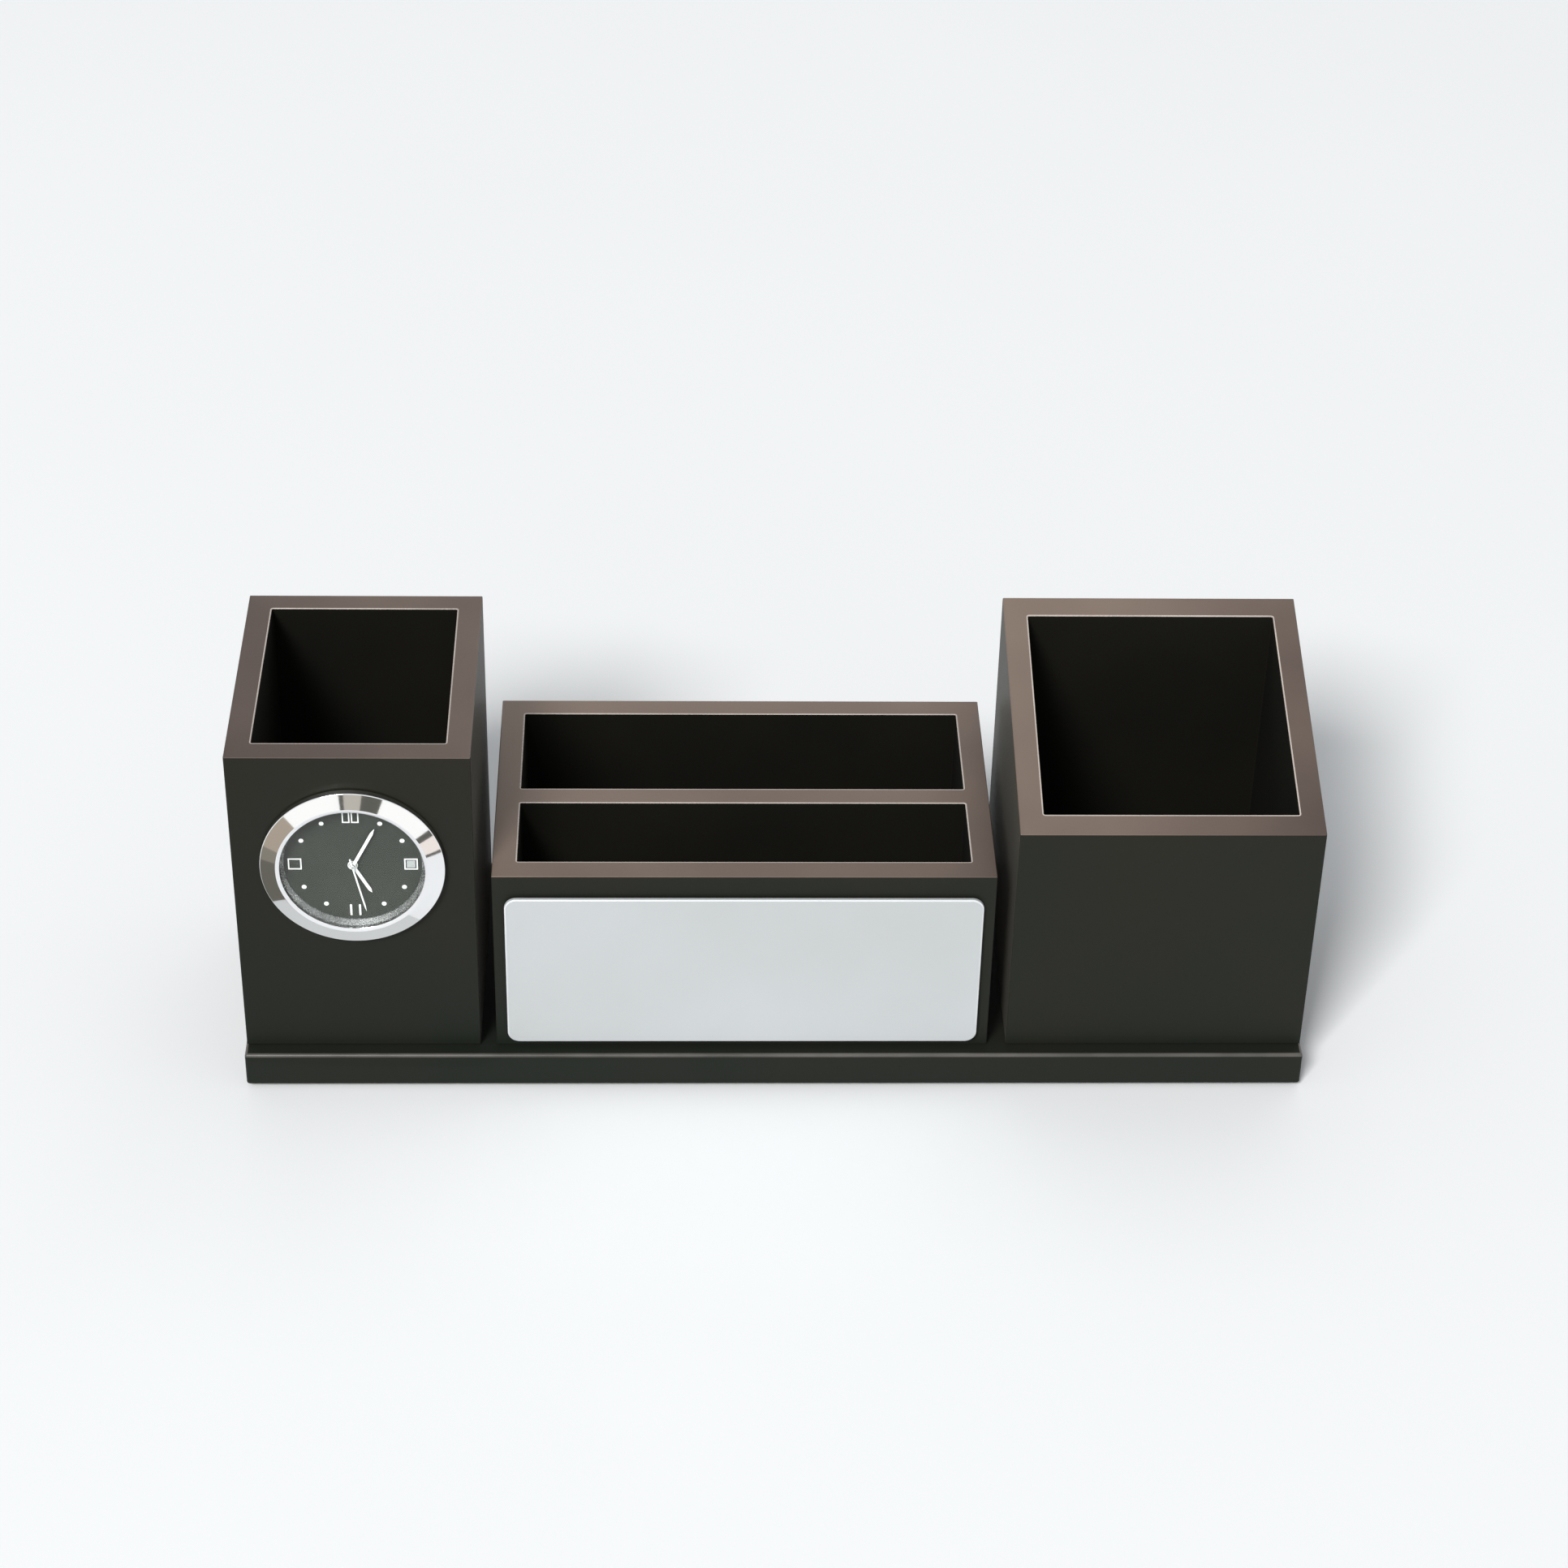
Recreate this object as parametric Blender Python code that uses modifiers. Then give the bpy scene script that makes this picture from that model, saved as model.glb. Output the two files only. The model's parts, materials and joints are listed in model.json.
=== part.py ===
"""A desk organiser: three open boxes on one base plate, with a push-in quartz clock and a name plate.

Metres, +Z up. The origin is under the middle of the base, the front faces -Y.
Every clock part is modelled in the clock's own frame: X to the right, Y towards twelve o'clock
and Z out towards the reader, with the zero on the front face of the left box.
"""

from math import cos, pi, radians, sin

import bmesh
import bpy
from mathutils import Vector

# Base plate and the felt under it
BASE_WIDTH = 0.220
BASE_DEPTH = 0.066
BASE_THICKNESS = 0.008
BASE_EDGE_RADIUS = 0.0006
FELT_THICKNESS = 0.0009
FELT_INSET = 0.003

# How far the boxes stand back from the edges of the base, and from each other
FRONT_REVEAL = 0.0033
REAR_REVEAL = 0.0007
SIDE_REVEAL = 0.0003
LEFT_GAP = 0.0033
RIGHT_GAP = 0.0040

# The three boxes
LEFT_WIDTH = 0.0484
RIGHT_WIDTH = 0.0617
LEFT_REAR_STEP = 0.0040
LEFT_HEIGHT = 0.0734
MIDDLE_HEIGHT = 0.0441
RIGHT_FRONT_HEIGHT = 0.0548
RIGHT_BACK_HEIGHT = 0.0708
WALL = 0.005
FLOOR_THICKNESS = 0.004
RIM_THICKNESS = 0.0008
CORNER_RADIUS = 0.0003
DIVIDER_SETBACK = 0.025
DIVIDER_THICKNESS = 0.005

# Name plate, placed by its margins on the middle box's front
PLATE_SIDE_MARGIN = 0.0024
PLATE_TOP_MARGIN = 0.0050
PLATE_BOTTOM_MARGIN = 0.0019
PLATE_THICKNESS = 0.0008
PLATE_CORNER_RADIUS = 0.0025
TAPE_THICKNESS = 0.0003
TAPE_INSET = 0.003

# Countersunk screws that come up through the base into the floors
SCREW_RADIUS = 0.0013
SCREW_HEAD_RADIUS = 0.0027
SCREW_HEAD_HEIGHT = 0.0016
SCREW_HEAD_RECESS = 0.0004
SCREW_BITE_SHARE = 0.75
SCREW_TIP = 0.0012
SCREW_DRIVE_RADIUS = 0.0009
SCREW_DRIVE_DEPTH = 0.0008
SCREW_SPREAD_SHARE = 0.56

# Clock insert, from the reader's side to the back
CLOCK_DROP = 0.0260
BEZEL_RADIUS = 0.0185
BEZEL_FACE_WIDTH = 0.0040
BEZEL_HEIGHT = 0.0025
BEZEL_RIM_HEIGHT = 0.0014
BEZEL_CROWN_WIDTH = 0.0007
BEZEL_LIP = 0.0004
BEZEL_LIP_WIDTH = 0.0008
BEZEL_OVERLAP = 0.0019
CRYSTAL_THICKNESS = 0.0008
CRYSTAL_CHAMFER = 0.0002
CHAPTER_RING_WIDTH = 0.0007
CUP_WALL = 0.0008
GRIP_RING_WIDTH = 0.0022
GRIP_RING_HEIGHT = 0.0003
GRIP_RING_SETBACK = 0.0014
DIAL_THICKNESS = 0.0004
MARKER_RAISE = 0.00012
DOT_RADIUS = 0.00048
SQUARE_SIZE = 0.0027
SQUARE_LINE = 0.00025
SQUARE_FILL_SHARE = 0.6
PAIR_WIDTH = 0.0015
PAIR_SPREAD = 0.0009
BAR_WIDTH = 0.0004
MARKER_RING_SHARE = 0.80

# Hands, and the time that they show
HOUR, MINUTE, SECOND = 5, 4, 28
HAND_THICKNESS = 0.0002
HAND_STEP = 0.0004
HAND_LEVELS = 4
HOUR_HAND_LENGTH = 0.0077
HOUR_HAND_WIDTH = 0.0008
MINUTE_HAND_LENGTH = 0.0104
MINUTE_HAND_WIDTH = 0.00072
SECOND_HAND_LENGTH = 0.0112
SECOND_HAND_TAIL = 0.0021
SECOND_HAND_WIDTH = 0.00036
HAND_HUB_WALL = 0.0002
HAND_SHOULDER_SHARE = 0.88

# Movement: thicknesses along the clock's axis
WHEEL_THICKNESS = 0.0003
MOTION_WHEEL_THICKNESS = 0.0004
AXIAL_GAP = 0.00015
MAIN_PLATE_THICKNESS = 0.0008
BRIDGE_THICKNESS = 0.0005
BATTERY_HEIGHT = 0.0026
CONTACT_THICKNESS = 0.0002
CONTACT_WIDTH = 0.0016
CASE_BACK_THICKNESS = 0.0007
KNOB_STAND = 0.0010
KNOB_NOTCHES = 16
TUBE_WALL = 0.0002
BOARD_THICKNESS = 0.0004
STATOR_THICKNESS = 0.0004
CHIP_HEIGHT = 0.0004
SPACER_WIDTH = 0.0020

# Movement: sizes and places as shares of the movement's radius, angles in degrees
MODULE_SHARE = 0.0128
SECOND_MODULE_SHARE = 1.36
THIRD_ANGLE = 170
INTERMEDIATE_ANGLE = 35
ROTOR_ANGLE = 80
MOTION_ANGLE = -120
BATTERY_ANGLE = -75.3
BATTERY_PLACE_SHARE = 0.69
BATTERY_RADIUS_SHARE = 0.221
BOARD_PLACE_SHARES = (0.636, -0.162)
BOARD_SIZE_SHARES = (0.357, 0.552)
CHIP_SIZE_SHARE = 0.14
CHIP_PLACE_SHARE = 0.16
QUARTZ_RADIUS_SHARE = 0.049
QUARTZ_LENGTH_SHARE = 0.34
COIL_PLACE_SHARES = (0.07, 0.745)
COIL_LENGTH_SHARE = 0.56
COIL_RADIUS_SHARE = 0.075
STATOR_MARGIN_SHARE = 0.075
MAGNET_RADIUS_SHARE = 0.078
KNOB_RADIUS_SHARE = 0.15
PILLAR_ANGLES = (221, 21.5, 135)
PILLAR_PLACE_SHARE = 0.92
PILLAR_RADIUS_SHARE = 0.052
BRIDGE_RADIUS_SHARE = 0.98
BATTERY_WELL_SHARE = 1.1
CONTACT_LENGTH_SHARE = 3

# Gear teeth: counts, and heights and widths as shares of the module and of the tooth spacing
CENTRE_TEETH, THIRD_PINION = 60, 6
THIRD_TEETH, SECOND_PINION = 48, 8
SECOND_TEETH, INTERMEDIATE_PINION = 40, 8
INTERMEDIATE_TEETH, ROTOR_PINION = 36, 6
CANNON_TEETH, MINUTE_TEETH = 10, 30
MINUTE_PINION, HOUR_TEETH = 8, 32
SETTING_TEETH = 10
ADDENDUM_SHARE = 0.6
WHEEL_DEDENDUM_SHARE = 1.6
PINION_DEDENDUM_SHARE = 1.1
TIP_HALF_SHARE = 0.08
PINION_ROOT_HALF_SHARE = 0.24
ARBOR_SHARE = 1.1
SETTING_ARBOR_SHARE = 2.2

# Clearances
GLUE_GAP = 0.0003
SEAT_GAP = 0.0003
RUNNING_GAP = 0.0001
PRESS_GAP = 0.00005
OVERRUN = 0.002
OVERLAP_SHARE = 0.5

# Facets round a circle
FINE_SIDES = 64
ROUND_SIDES = 40
SMALL_SIDES = 20
TINY_SIDES = 12
CORNER_STEPS = 4
SMOOTH_ANGLE = radians(35)
MERGE = 0.000001

# Colours
LACQUER = (0.028, 0.029, 0.024)
INSIDE = (0.008, 0.008, 0.006)
TAUPE = (0.190, 0.152, 0.134)
SILVER = (0.80, 0.81, 0.82)
BRASS = (0.78, 0.57, 0.25)
STEEL = (0.55, 0.55, 0.56)
COPPER = (0.72, 0.30, 0.15)
WHITE = (0.85, 0.86, 0.85)
DIAL_GREY = (0.072, 0.084, 0.072)
BOARD_GREEN = (0.02, 0.16, 0.07)

# Places on the base
BASE_BOTTOM = FELT_THICKNESS + RUNNING_GAP
BASE_TOP = BASE_BOTTOM + BASE_THICKNESS
FRONT = -BASE_DEPTH / 2 + FRONT_REVEAL
DEEP = BASE_DEPTH - FRONT_REVEAL - REAR_REVEAL
LEFT_START = -BASE_WIDTH / 2 + SIDE_REVEAL
LEFT_END = LEFT_START + LEFT_WIDTH
RIGHT_END = BASE_WIDTH / 2 - SIDE_REVEAL
RIGHT_START = RIGHT_END - RIGHT_WIDTH
MIDDLE_START = LEFT_END + LEFT_GAP
MIDDLE_END = RIGHT_START - RIGHT_GAP
BOX_BOTTOM = BASE_TOP + GLUE_GAP
SCREW_BITE = FLOOR_THICKNESS * SCREW_BITE_SHARE
SCREW_LENGTH = BASE_THICKNESS - SCREW_HEAD_RECESS + GLUE_GAP + SCREW_BITE

# Radii of the clock
OPENING_RADIUS = BEZEL_RADIUS - BEZEL_FACE_WIDTH
CUP_RADIUS = BEZEL_RADIUS - BEZEL_OVERLAP
GRIP_RADIUS = CUP_RADIUS + GRIP_RING_HEIGHT
HOLE_RADIUS = GRIP_RADIUS + RUNNING_GAP
CUP_BORE = CUP_RADIUS - CUP_WALL
POCKET_RADIUS = OPENING_RADIUS + BEZEL_LIP_WIDTH
CRYSTAL_RADIUS = POCKET_RADIUS - RUNNING_GAP
MOVEMENT_RADIUS = CUP_BORE - SEAT_GAP
DIAL_RADIUS = MOVEMENT_RADIUS
MARKER_RING = OPENING_RADIUS * MARKER_RING_SHARE

# Levels of the clock, from the crystal to the setting knob
BEZEL_BACK = SEAT_GAP
BEZEL_FRONT = BEZEL_BACK + BEZEL_HEIGHT
CRYSTAL_FRONT = BEZEL_FRONT - BEZEL_LIP - RUNNING_GAP
CRYSTAL_BACK = CRYSTAL_FRONT - CRYSTAL_THICKNESS
DIAL_FRONT = CRYSTAL_BACK - HAND_LEVELS * HAND_STEP
DIAL_BACK = DIAL_FRONT - DIAL_THICKNESS
HOUR_HAND_LEVEL = DIAL_FRONT + HAND_STEP
MINUTE_HAND_LEVEL = HOUR_HAND_LEVEL + HAND_STEP
SECOND_HAND_LEVEL = MINUTE_HAND_LEVEL + HAND_STEP
HOUR_WHEEL_FRONT = DIAL_BACK - AXIAL_GAP
HOUR_WHEEL_BACK = HOUR_WHEEL_FRONT - MOTION_WHEEL_THICKNESS
MINUTE_WHEEL_FRONT = HOUR_WHEEL_BACK - AXIAL_GAP
MINUTE_WHEEL_BACK = MINUTE_WHEEL_FRONT - MOTION_WHEEL_THICKNESS
PLATE_FRONT = MINUTE_WHEEL_BACK - AXIAL_GAP
PLATE_BACK = PLATE_FRONT - MAIN_PLATE_THICKNESS
CENTRE_FRONT = PLATE_BACK - AXIAL_GAP
CENTRE_BACK = CENTRE_FRONT - WHEEL_THICKNESS
THIRD_FRONT = CENTRE_BACK - 2 * AXIAL_GAP
THIRD_BACK = THIRD_FRONT - WHEEL_THICKNESS
SECOND_FRONT = THIRD_BACK - 2 * AXIAL_GAP
SECOND_BACK = SECOND_FRONT - WHEEL_THICKNESS
INTERMEDIATE_FRONT = SECOND_BACK - 2 * AXIAL_GAP
INTERMEDIATE_BACK = INTERMEDIATE_FRONT - WHEEL_THICKNESS
BRIDGE_FRONT = INTERMEDIATE_BACK - 2 * AXIAL_GAP
BRIDGE_BACK = BRIDGE_FRONT - BRIDGE_THICKNESS
BATTERY_FRONT = PLATE_BACK - RUNNING_GAP
BATTERY_BACK = BATTERY_FRONT - BATTERY_HEIGHT
CONTACT_FRONT = min(BRIDGE_BACK, BATTERY_BACK) - RUNNING_GAP
CONTACT_BACK = CONTACT_FRONT - CONTACT_THICKNESS
CASE_BACK_FRONT = CONTACT_BACK - RUNNING_GAP
CASE_BACK_BACK = CASE_BACK_FRONT - CASE_BACK_THICKNESS
KNOB_BACK = CASE_BACK_BACK - KNOB_STAND

# Gear modules: coaxial pairs share one centre distance, so the third wheel's module follows the
# centre wheel's. The second wheel's is larger, so that the next arbor clears the centre wheel.
MODULE = MOVEMENT_RADIUS * MODULE_SHARE
SECOND_MODULE = MODULE * SECOND_MODULE_SHARE
THIRD_MODULE = MODULE * (CENTRE_TEETH + THIRD_PINION) / (THIRD_TEETH + SECOND_PINION)
MOTION_MODULE = MODULE
HOUR_MODULE = MOTION_MODULE * (CANNON_TEETH + MINUTE_TEETH) / (MINUTE_PINION + HOUR_TEETH)

# Radii on the centre line: the second hand's arbor runs in the cannon tube, that in the hour tube
ARBOR_RADIUS = MODULE * ARBOR_SHARE
CANNON_BORE = ARBOR_RADIUS + RUNNING_GAP
CANNON_RADIUS = CANNON_BORE + TUBE_WALL
HOUR_BORE = CANNON_RADIUS + RUNNING_GAP
HOUR_TUBE_RADIUS = HOUR_BORE + TUBE_WALL
SETTING_RADIUS = MODULE * SETTING_ARBOR_SHARE
KNOB_RADIUS = MOVEMENT_RADIUS * KNOB_RADIUS_SHARE
BATTERY_RADIUS = MOVEMENT_RADIUS * BATTERY_RADIUS_SHARE
MAGNET_RADIUS = MOVEMENT_RADIUS * MAGNET_RADIUS_SHARE
COIL_RADIUS = MOVEMENT_RADIUS * COIL_RADIUS_SHARE


def centre_distance(teeth, pinion, module):
    return (teeth + pinion) * module / 2


def polar(distance, degrees, start=(0, 0)):
    angle = radians(degrees)
    return start[0] + distance * cos(angle), start[1] + distance * sin(angle)


def shared_place(shares):
    return tuple(MOVEMENT_RADIUS * share for share in shares)


# Where each arbor stands, seen from the front
CENTRE = (0, 0)
THIRD = polar(centre_distance(CENTRE_TEETH, THIRD_PINION, MODULE), THIRD_ANGLE)
INTERMEDIATE = polar(
    centre_distance(SECOND_TEETH, INTERMEDIATE_PINION, SECOND_MODULE), INTERMEDIATE_ANGLE
)
ROTOR = polar(
    centre_distance(INTERMEDIATE_TEETH, ROTOR_PINION, MODULE), ROTOR_ANGLE, INTERMEDIATE
)
MOTION = polar(centre_distance(CANNON_TEETH, MINUTE_TEETH, MOTION_MODULE), MOTION_ANGLE)
SETTING = polar(
    centre_distance(MINUTE_TEETH, SETTING_TEETH, MOTION_MODULE), MOTION_ANGLE, MOTION
)
BATTERY = polar(MOVEMENT_RADIUS * BATTERY_PLACE_SHARE, BATTERY_ANGLE)
BOARD = shared_place(BOARD_PLACE_SHARES)
COIL = shared_place(COIL_PLACE_SHARES)


# Scene, collections and materials


def clear_scene():
    for obj in list(bpy.data.objects):
        bpy.data.objects.remove(obj, do_unlink=True)


def new_collection(name, hidden=False):
    collection = bpy.data.collections.new(name)
    bpy.context.scene.collection.children.link(collection)
    collection.hide_render = hidden
    return collection


def new_material(name, colour, roughness, metallic=0.0, transmission=0.0):
    material = bpy.data.materials.new(name)
    material.use_nodes = True
    shader = material.node_tree.nodes["Principled BSDF"]
    shader.inputs["Base Color"].default_value = (*colour, 1.0)
    shader.inputs["Roughness"].default_value = roughness
    shader.inputs["Metallic"].default_value = metallic
    shader.inputs["Transmission Weight"].default_value = transmission
    material.diffuse_color = (*colour, 1.0)
    return material


clear_scene()
PARTS = new_collection("pen_holder_clock")
CUTTERS = new_collection("cutters", hidden=True)


# Shapes


def add_part(name, mesh, material, place=(0, 0, 0), parent=None):
    obj = bpy.data.objects.new(name, mesh)
    PARTS.objects.link(obj)
    obj.location = place
    obj.parent = parent
    mesh.materials.append(material)
    return obj


def add_cutter(name, mesh, place=(0, 0, 0), parent=None):
    obj = bpy.data.objects.new(name, mesh)
    CUTTERS.objects.link(obj)
    obj.location = place
    obj.parent = parent
    obj.hide_render = True
    obj.display_type = "WIRE"
    return obj


def combine(obj, other, operation):
    modifier = obj.modifiers.new(other.name, "BOOLEAN")
    modifier.operation = operation
    modifier.solver = "EXACT"
    modifier.object = other


def finish_mesh(bm, name):
    mesh = bpy.data.meshes.new(name)
    bm.to_mesh(mesh)
    bm.free()
    mesh.shade_smooth()
    mesh.set_sharp_from_angle(angle=SMOOTH_ANGLE)
    return mesh


def circle(radius, centre=(0, 0), sides=ROUND_SIDES):
    return [
        (
            centre[0] + radius * cos(2 * pi * side / sides),
            centre[1] + radius * sin(2 * pi * side / sides),
        )
        for side in range(sides)
    ]


def rectangle(width, height, centre=(0, 0)):
    return [
        (centre[0] + x * width / 2, centre[1] + y * height / 2)
        for x, y in ((-1, -1), (1, -1), (1, 1), (-1, 1))
    ]


def rounded_rectangle(width, height, radius):
    points = []
    for quarter, (x, y) in enumerate(((1, 1), (-1, 1), (-1, -1), (1, -1))):
        middle = x * (width / 2 - radius), y * (height / 2 - radius)
        for step in range(CORNER_STEPS + 1):
            turn = 90 * (quarter + step / CORNER_STEPS)
            points.append(polar(radius, turn, middle))
    return points


def slab(name, loops, thickness):
    """A flat outline with its holes, given thickness. Its back is at zero."""
    curve = bpy.data.curves.new(name, "CURVE")
    curve.dimensions = "2D"
    curve.fill_mode = "BOTH"
    curve.extrude = thickness / 2
    for loop in loops:
        spline = curve.splines.new("POLY")
        spline.points.add(len(loop) - 1)
        spline.use_cyclic_u = True
        for point, (x, y) in zip(spline.points, loop):
            point.co = (x, y, 0, 1)
    guide = bpy.data.objects.new(name, curve)
    bpy.context.scene.collection.objects.link(guide)
    graph = bpy.context.evaluated_depsgraph_get()
    mesh = bpy.data.meshes.new_from_object(guide.evaluated_get(graph))
    bm = bmesh.new()
    bm.from_mesh(mesh)
    bmesh.ops.remove_doubles(bm, verts=bm.verts, dist=MERGE)
    bmesh.ops.translate(bm, verts=bm.verts, vec=(0, 0, thickness / 2))
    bpy.data.objects.remove(guide)
    bpy.data.curves.remove(curve)
    bpy.data.meshes.remove(mesh)
    return finish_mesh(bm, name)


def rod(name, radius, length, sides=SMALL_SIDES):
    """A cylinder whose back is at zero."""
    bm = bmesh.new()
    bmesh.ops.create_cone(
        bm, cap_ends=True, segments=sides, radius1=radius, radius2=radius, depth=length
    )
    bmesh.ops.translate(bm, verts=bm.verts, vec=(0, 0, length / 2))
    return finish_mesh(bm, name)


def profile_mesh(name, points, closed):
    """The edges of a turned shape's profile, running down its outer side."""
    turned_left = sum(
        a[0] * b[1] - b[0] * a[1] for a, b in zip(points, points[1:] + points[:1])
    )
    if turned_left > 0:
        points = points[::-1]
    count = len(points)
    edges = [(i, (i + 1) % count) for i in range(count if closed else count - 1)]
    mesh = bpy.data.meshes.new(name)
    mesh.from_pydata([(radius, 0, level) for radius, level in points], edges, [])
    return mesh


def turn(obj, sides):
    modifier = obj.modifiers.new("turned", "SCREW")
    modifier.steps = sides
    modifier.render_steps = sides
    modifier.use_merge_vertices = True
    modifier.merge_threshold = MERGE
    modifier.use_smooth_shade = True
    return obj


def turned_part(name, points, material, sides, place=(0, 0, 0), parent=None):
    """A ring where the profile stays off the axis, otherwise a solid whose profile ends on it."""
    closed = min(radius for radius, _ in points) > 0
    mesh = profile_mesh(name, points, closed)
    return turn(add_part(name, mesh, material, place, parent), sides)


def box_mesh(name, low, high, top=None, rounded=(), radius=0):
    """A box between two corners. top gives the height of its upper face at a depth, and rounded
    names the upright edges to round, by the side of the box that they are on in X and Y."""
    bm = bmesh.new()
    bmesh.ops.create_cube(bm, size=1)
    low, high = Vector(low), Vector(high)
    bmesh.ops.scale(bm, verts=bm.verts, vec=high - low)
    bmesh.ops.translate(bm, verts=bm.verts, vec=(low + high) / 2)
    middle = (low + high) / 2
    if top:
        for vert in bm.verts:
            if vert.co.z > middle.z:
                vert.co.z = top(vert.co.y)
    if rounded:
        edges = []
        for edge in bm.edges:
            one, other = (vert.co for vert in edge.verts)
            side = (one + other) / 2 - middle
            upright = (one - other).xy.length < MERGE
            if upright and any(side.x * x > 0 and side.y * y > 0 for x, y in rounded):
                edges.append(edge)
        bmesh.ops.bevel(
            bm, geom=edges, offset=radius, segments=CORNER_STEPS, affect="EDGES"
        )
    return finish_mesh(bm, name)


def add_box(name, low, high, material, **shape):
    """The part's origin is the middle of its foot."""
    foot = Vector(((low[0] + high[0]) / 2, (low[1] + high[1]) / 2, low[2]))
    mesh = box_mesh(name, low, high, **shape)
    for vert in mesh.vertices:
        vert.co -= foot
    return add_part(name, mesh, material, foot)


# Base


def screw_places():
    """Two screws under each box, as (box, number, x, y)."""
    places = []
    for box, start, end, depth in (
        ("left", LEFT_START, LEFT_END, DEEP - LEFT_REAR_STEP),
        ("middle", MIDDLE_START, MIDDLE_END, DEEP),
        ("right", RIGHT_START, RIGHT_END, DEEP),
    ):
        for number, side in enumerate((-1, 1), start=1):
            x = (start + end) / 2 + side * (end - start) / 2 * SCREW_SPREAD_SHARE
            y = FRONT + depth / 2
            if box == "middle":
                y = FRONT + (DIVIDER_SETBACK + DIVIDER_THICKNESS + depth - WALL) / 2
            places.append((box, number, x, y))
    return places


def make_base(lacquer, felt_material):
    low = (-BASE_WIDTH / 2, -BASE_DEPTH / 2, BASE_BOTTOM)
    high = (BASE_WIDTH / 2, BASE_DEPTH / 2, BASE_TOP)
    base = add_box("base_plate", low, high, lacquer)
    bevel = base.modifiers.new("soft_edges", "BEVEL")
    bevel.width = BASE_EDGE_RADIUS
    bevel.segments = 2
    for box, number, x, y in screw_places():
        name = f"{box}_screw_hole_{number}"
        points = [
            (0, BASE_THICKNESS + OVERRUN),
            (SCREW_RADIUS + RUNNING_GAP, BASE_THICKNESS + OVERRUN),
            (SCREW_RADIUS + RUNNING_GAP, SCREW_HEAD_RECESS + SCREW_HEAD_HEIGHT),
            (SCREW_HEAD_RADIUS + RUNNING_GAP, SCREW_HEAD_RECESS),
            (SCREW_HEAD_RADIUS + RUNNING_GAP, -OVERRUN),
            (0, -OVERRUN),
        ]
        mesh = profile_mesh(name, points, closed=False)
        cutter = turn(add_cutter(name, mesh, (x, y, BASE_BOTTOM)), SMALL_SIDES)
        combine(base, cutter, "DIFFERENCE")
    low = (-BASE_WIDTH / 2 + FELT_INSET, -BASE_DEPTH / 2 + FELT_INSET, 0)
    high = (BASE_WIDTH / 2 - FELT_INSET, BASE_DEPTH / 2 - FELT_INSET, FELT_THICKNESS)
    corners = ((-1, -1), (1, -1), (1, 1), (-1, 1))
    add_box("base_felt", low, high, felt_material, rounded=corners, radius=FELT_INSET)


def make_screws(steel):
    for box, number, x, y in screw_places():
        points = [
            (0, SCREW_LENGTH),
            (SCREW_RADIUS, SCREW_LENGTH - SCREW_TIP),
            (SCREW_RADIUS, SCREW_HEAD_HEIGHT),
            (SCREW_HEAD_RADIUS, 0),
            (SCREW_DRIVE_RADIUS, 0),
            (0, SCREW_DRIVE_DEPTH),
        ]
        place = (x, y, BASE_BOTTOM + SCREW_HEAD_RECESS)
        turned_part(f"{box}_box_screw_{number}", points, steel, SMALL_SIDES, place)


# Boxes


def panel_top(front_height, back_height, depth):
    """The height of the panels' upper faces at a depth, under the rim."""

    def top(y):
        share = (y - FRONT) / depth
        height = front_height + (back_height - front_height) * share
        return BASE_TOP + height - RIM_THICKNESS - GLUE_GAP

    return top


def make_box(box, start, end, depth, heights, lacquer, inside):
    """Front and back run right across, the sides stand between them and the floor inside all four."""
    top = panel_top(*heights, depth)
    back = FRONT + depth
    side_front, side_back = FRONT + WALL + GLUE_GAP, back - WALL - GLUE_GAP
    tall = max(heights)
    uprights = {
        "front": ((start, FRONT), (end, FRONT + WALL), ((-1, -1), (1, -1))),
        "back": ((start, back - WALL), (end, back), ((-1, 1), (1, 1))),
        "left_side": ((start, side_front), (start + WALL, side_back), ()),
        "right_side": ((end - WALL, side_front), (end, side_back), ()),
    }
    panels = {}
    for side, (low, high, rounded) in uprights.items():
        panels[side] = add_box(
            f"{box}_box_{side}",
            (*low, BOX_BOTTOM),
            (*high, BASE_TOP + tall),
            lacquer,
            top=top,
            rounded=rounded,
            radius=CORNER_RADIUS,
        )
    floor_low = (start + WALL + GLUE_GAP, side_front, BOX_BOTTOM)
    floor_high = (end - WALL - GLUE_GAP, side_back, BOX_BOTTOM + FLOOR_THICKNESS)
    panels["floor"] = add_box(f"{box}_box_floor", floor_low, floor_high, inside)
    cut_pilot_holes(panels["floor"], box)
    return panels


def cut_pilot_holes(floor, box):
    for owner, number, x, y in screw_places():
        if owner != box:
            continue
        name = f"{box}_pilot_hole_{number}"
        depth = SCREW_BITE + RUNNING_GAP + OVERRUN
        mesh = rod(name, SCREW_RADIUS + RUNNING_GAP, depth)
        combine(floor, add_cutter(name, mesh, (x, y, BOX_BOTTOM - OVERRUN)), "DIFFERENCE")


def make_rim(box, start, end, depth, heights, taupe, openings):
    """The edging on top of a box. openings are (front, back) pairs measured from the box's front."""
    loops = [rectangle(end - start, depth, (0, depth / 2))]
    for near, far in openings:
        middle = (near + far) / 2
        loops.append(rectangle(end - start - 2 * WALL, far - near, (0, middle)))
    mesh = slab(f"{box}_box_rim", loops, RIM_THICKNESS)
    slope = (heights[1] - heights[0]) / depth
    for vert in mesh.vertices:
        vert.co.z += slope * vert.co.y
    level = BASE_TOP + heights[0] - RIM_THICKNESS
    add_part(f"{box}_box_rim", mesh, taupe, ((start + end) / 2, FRONT, level))


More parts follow.
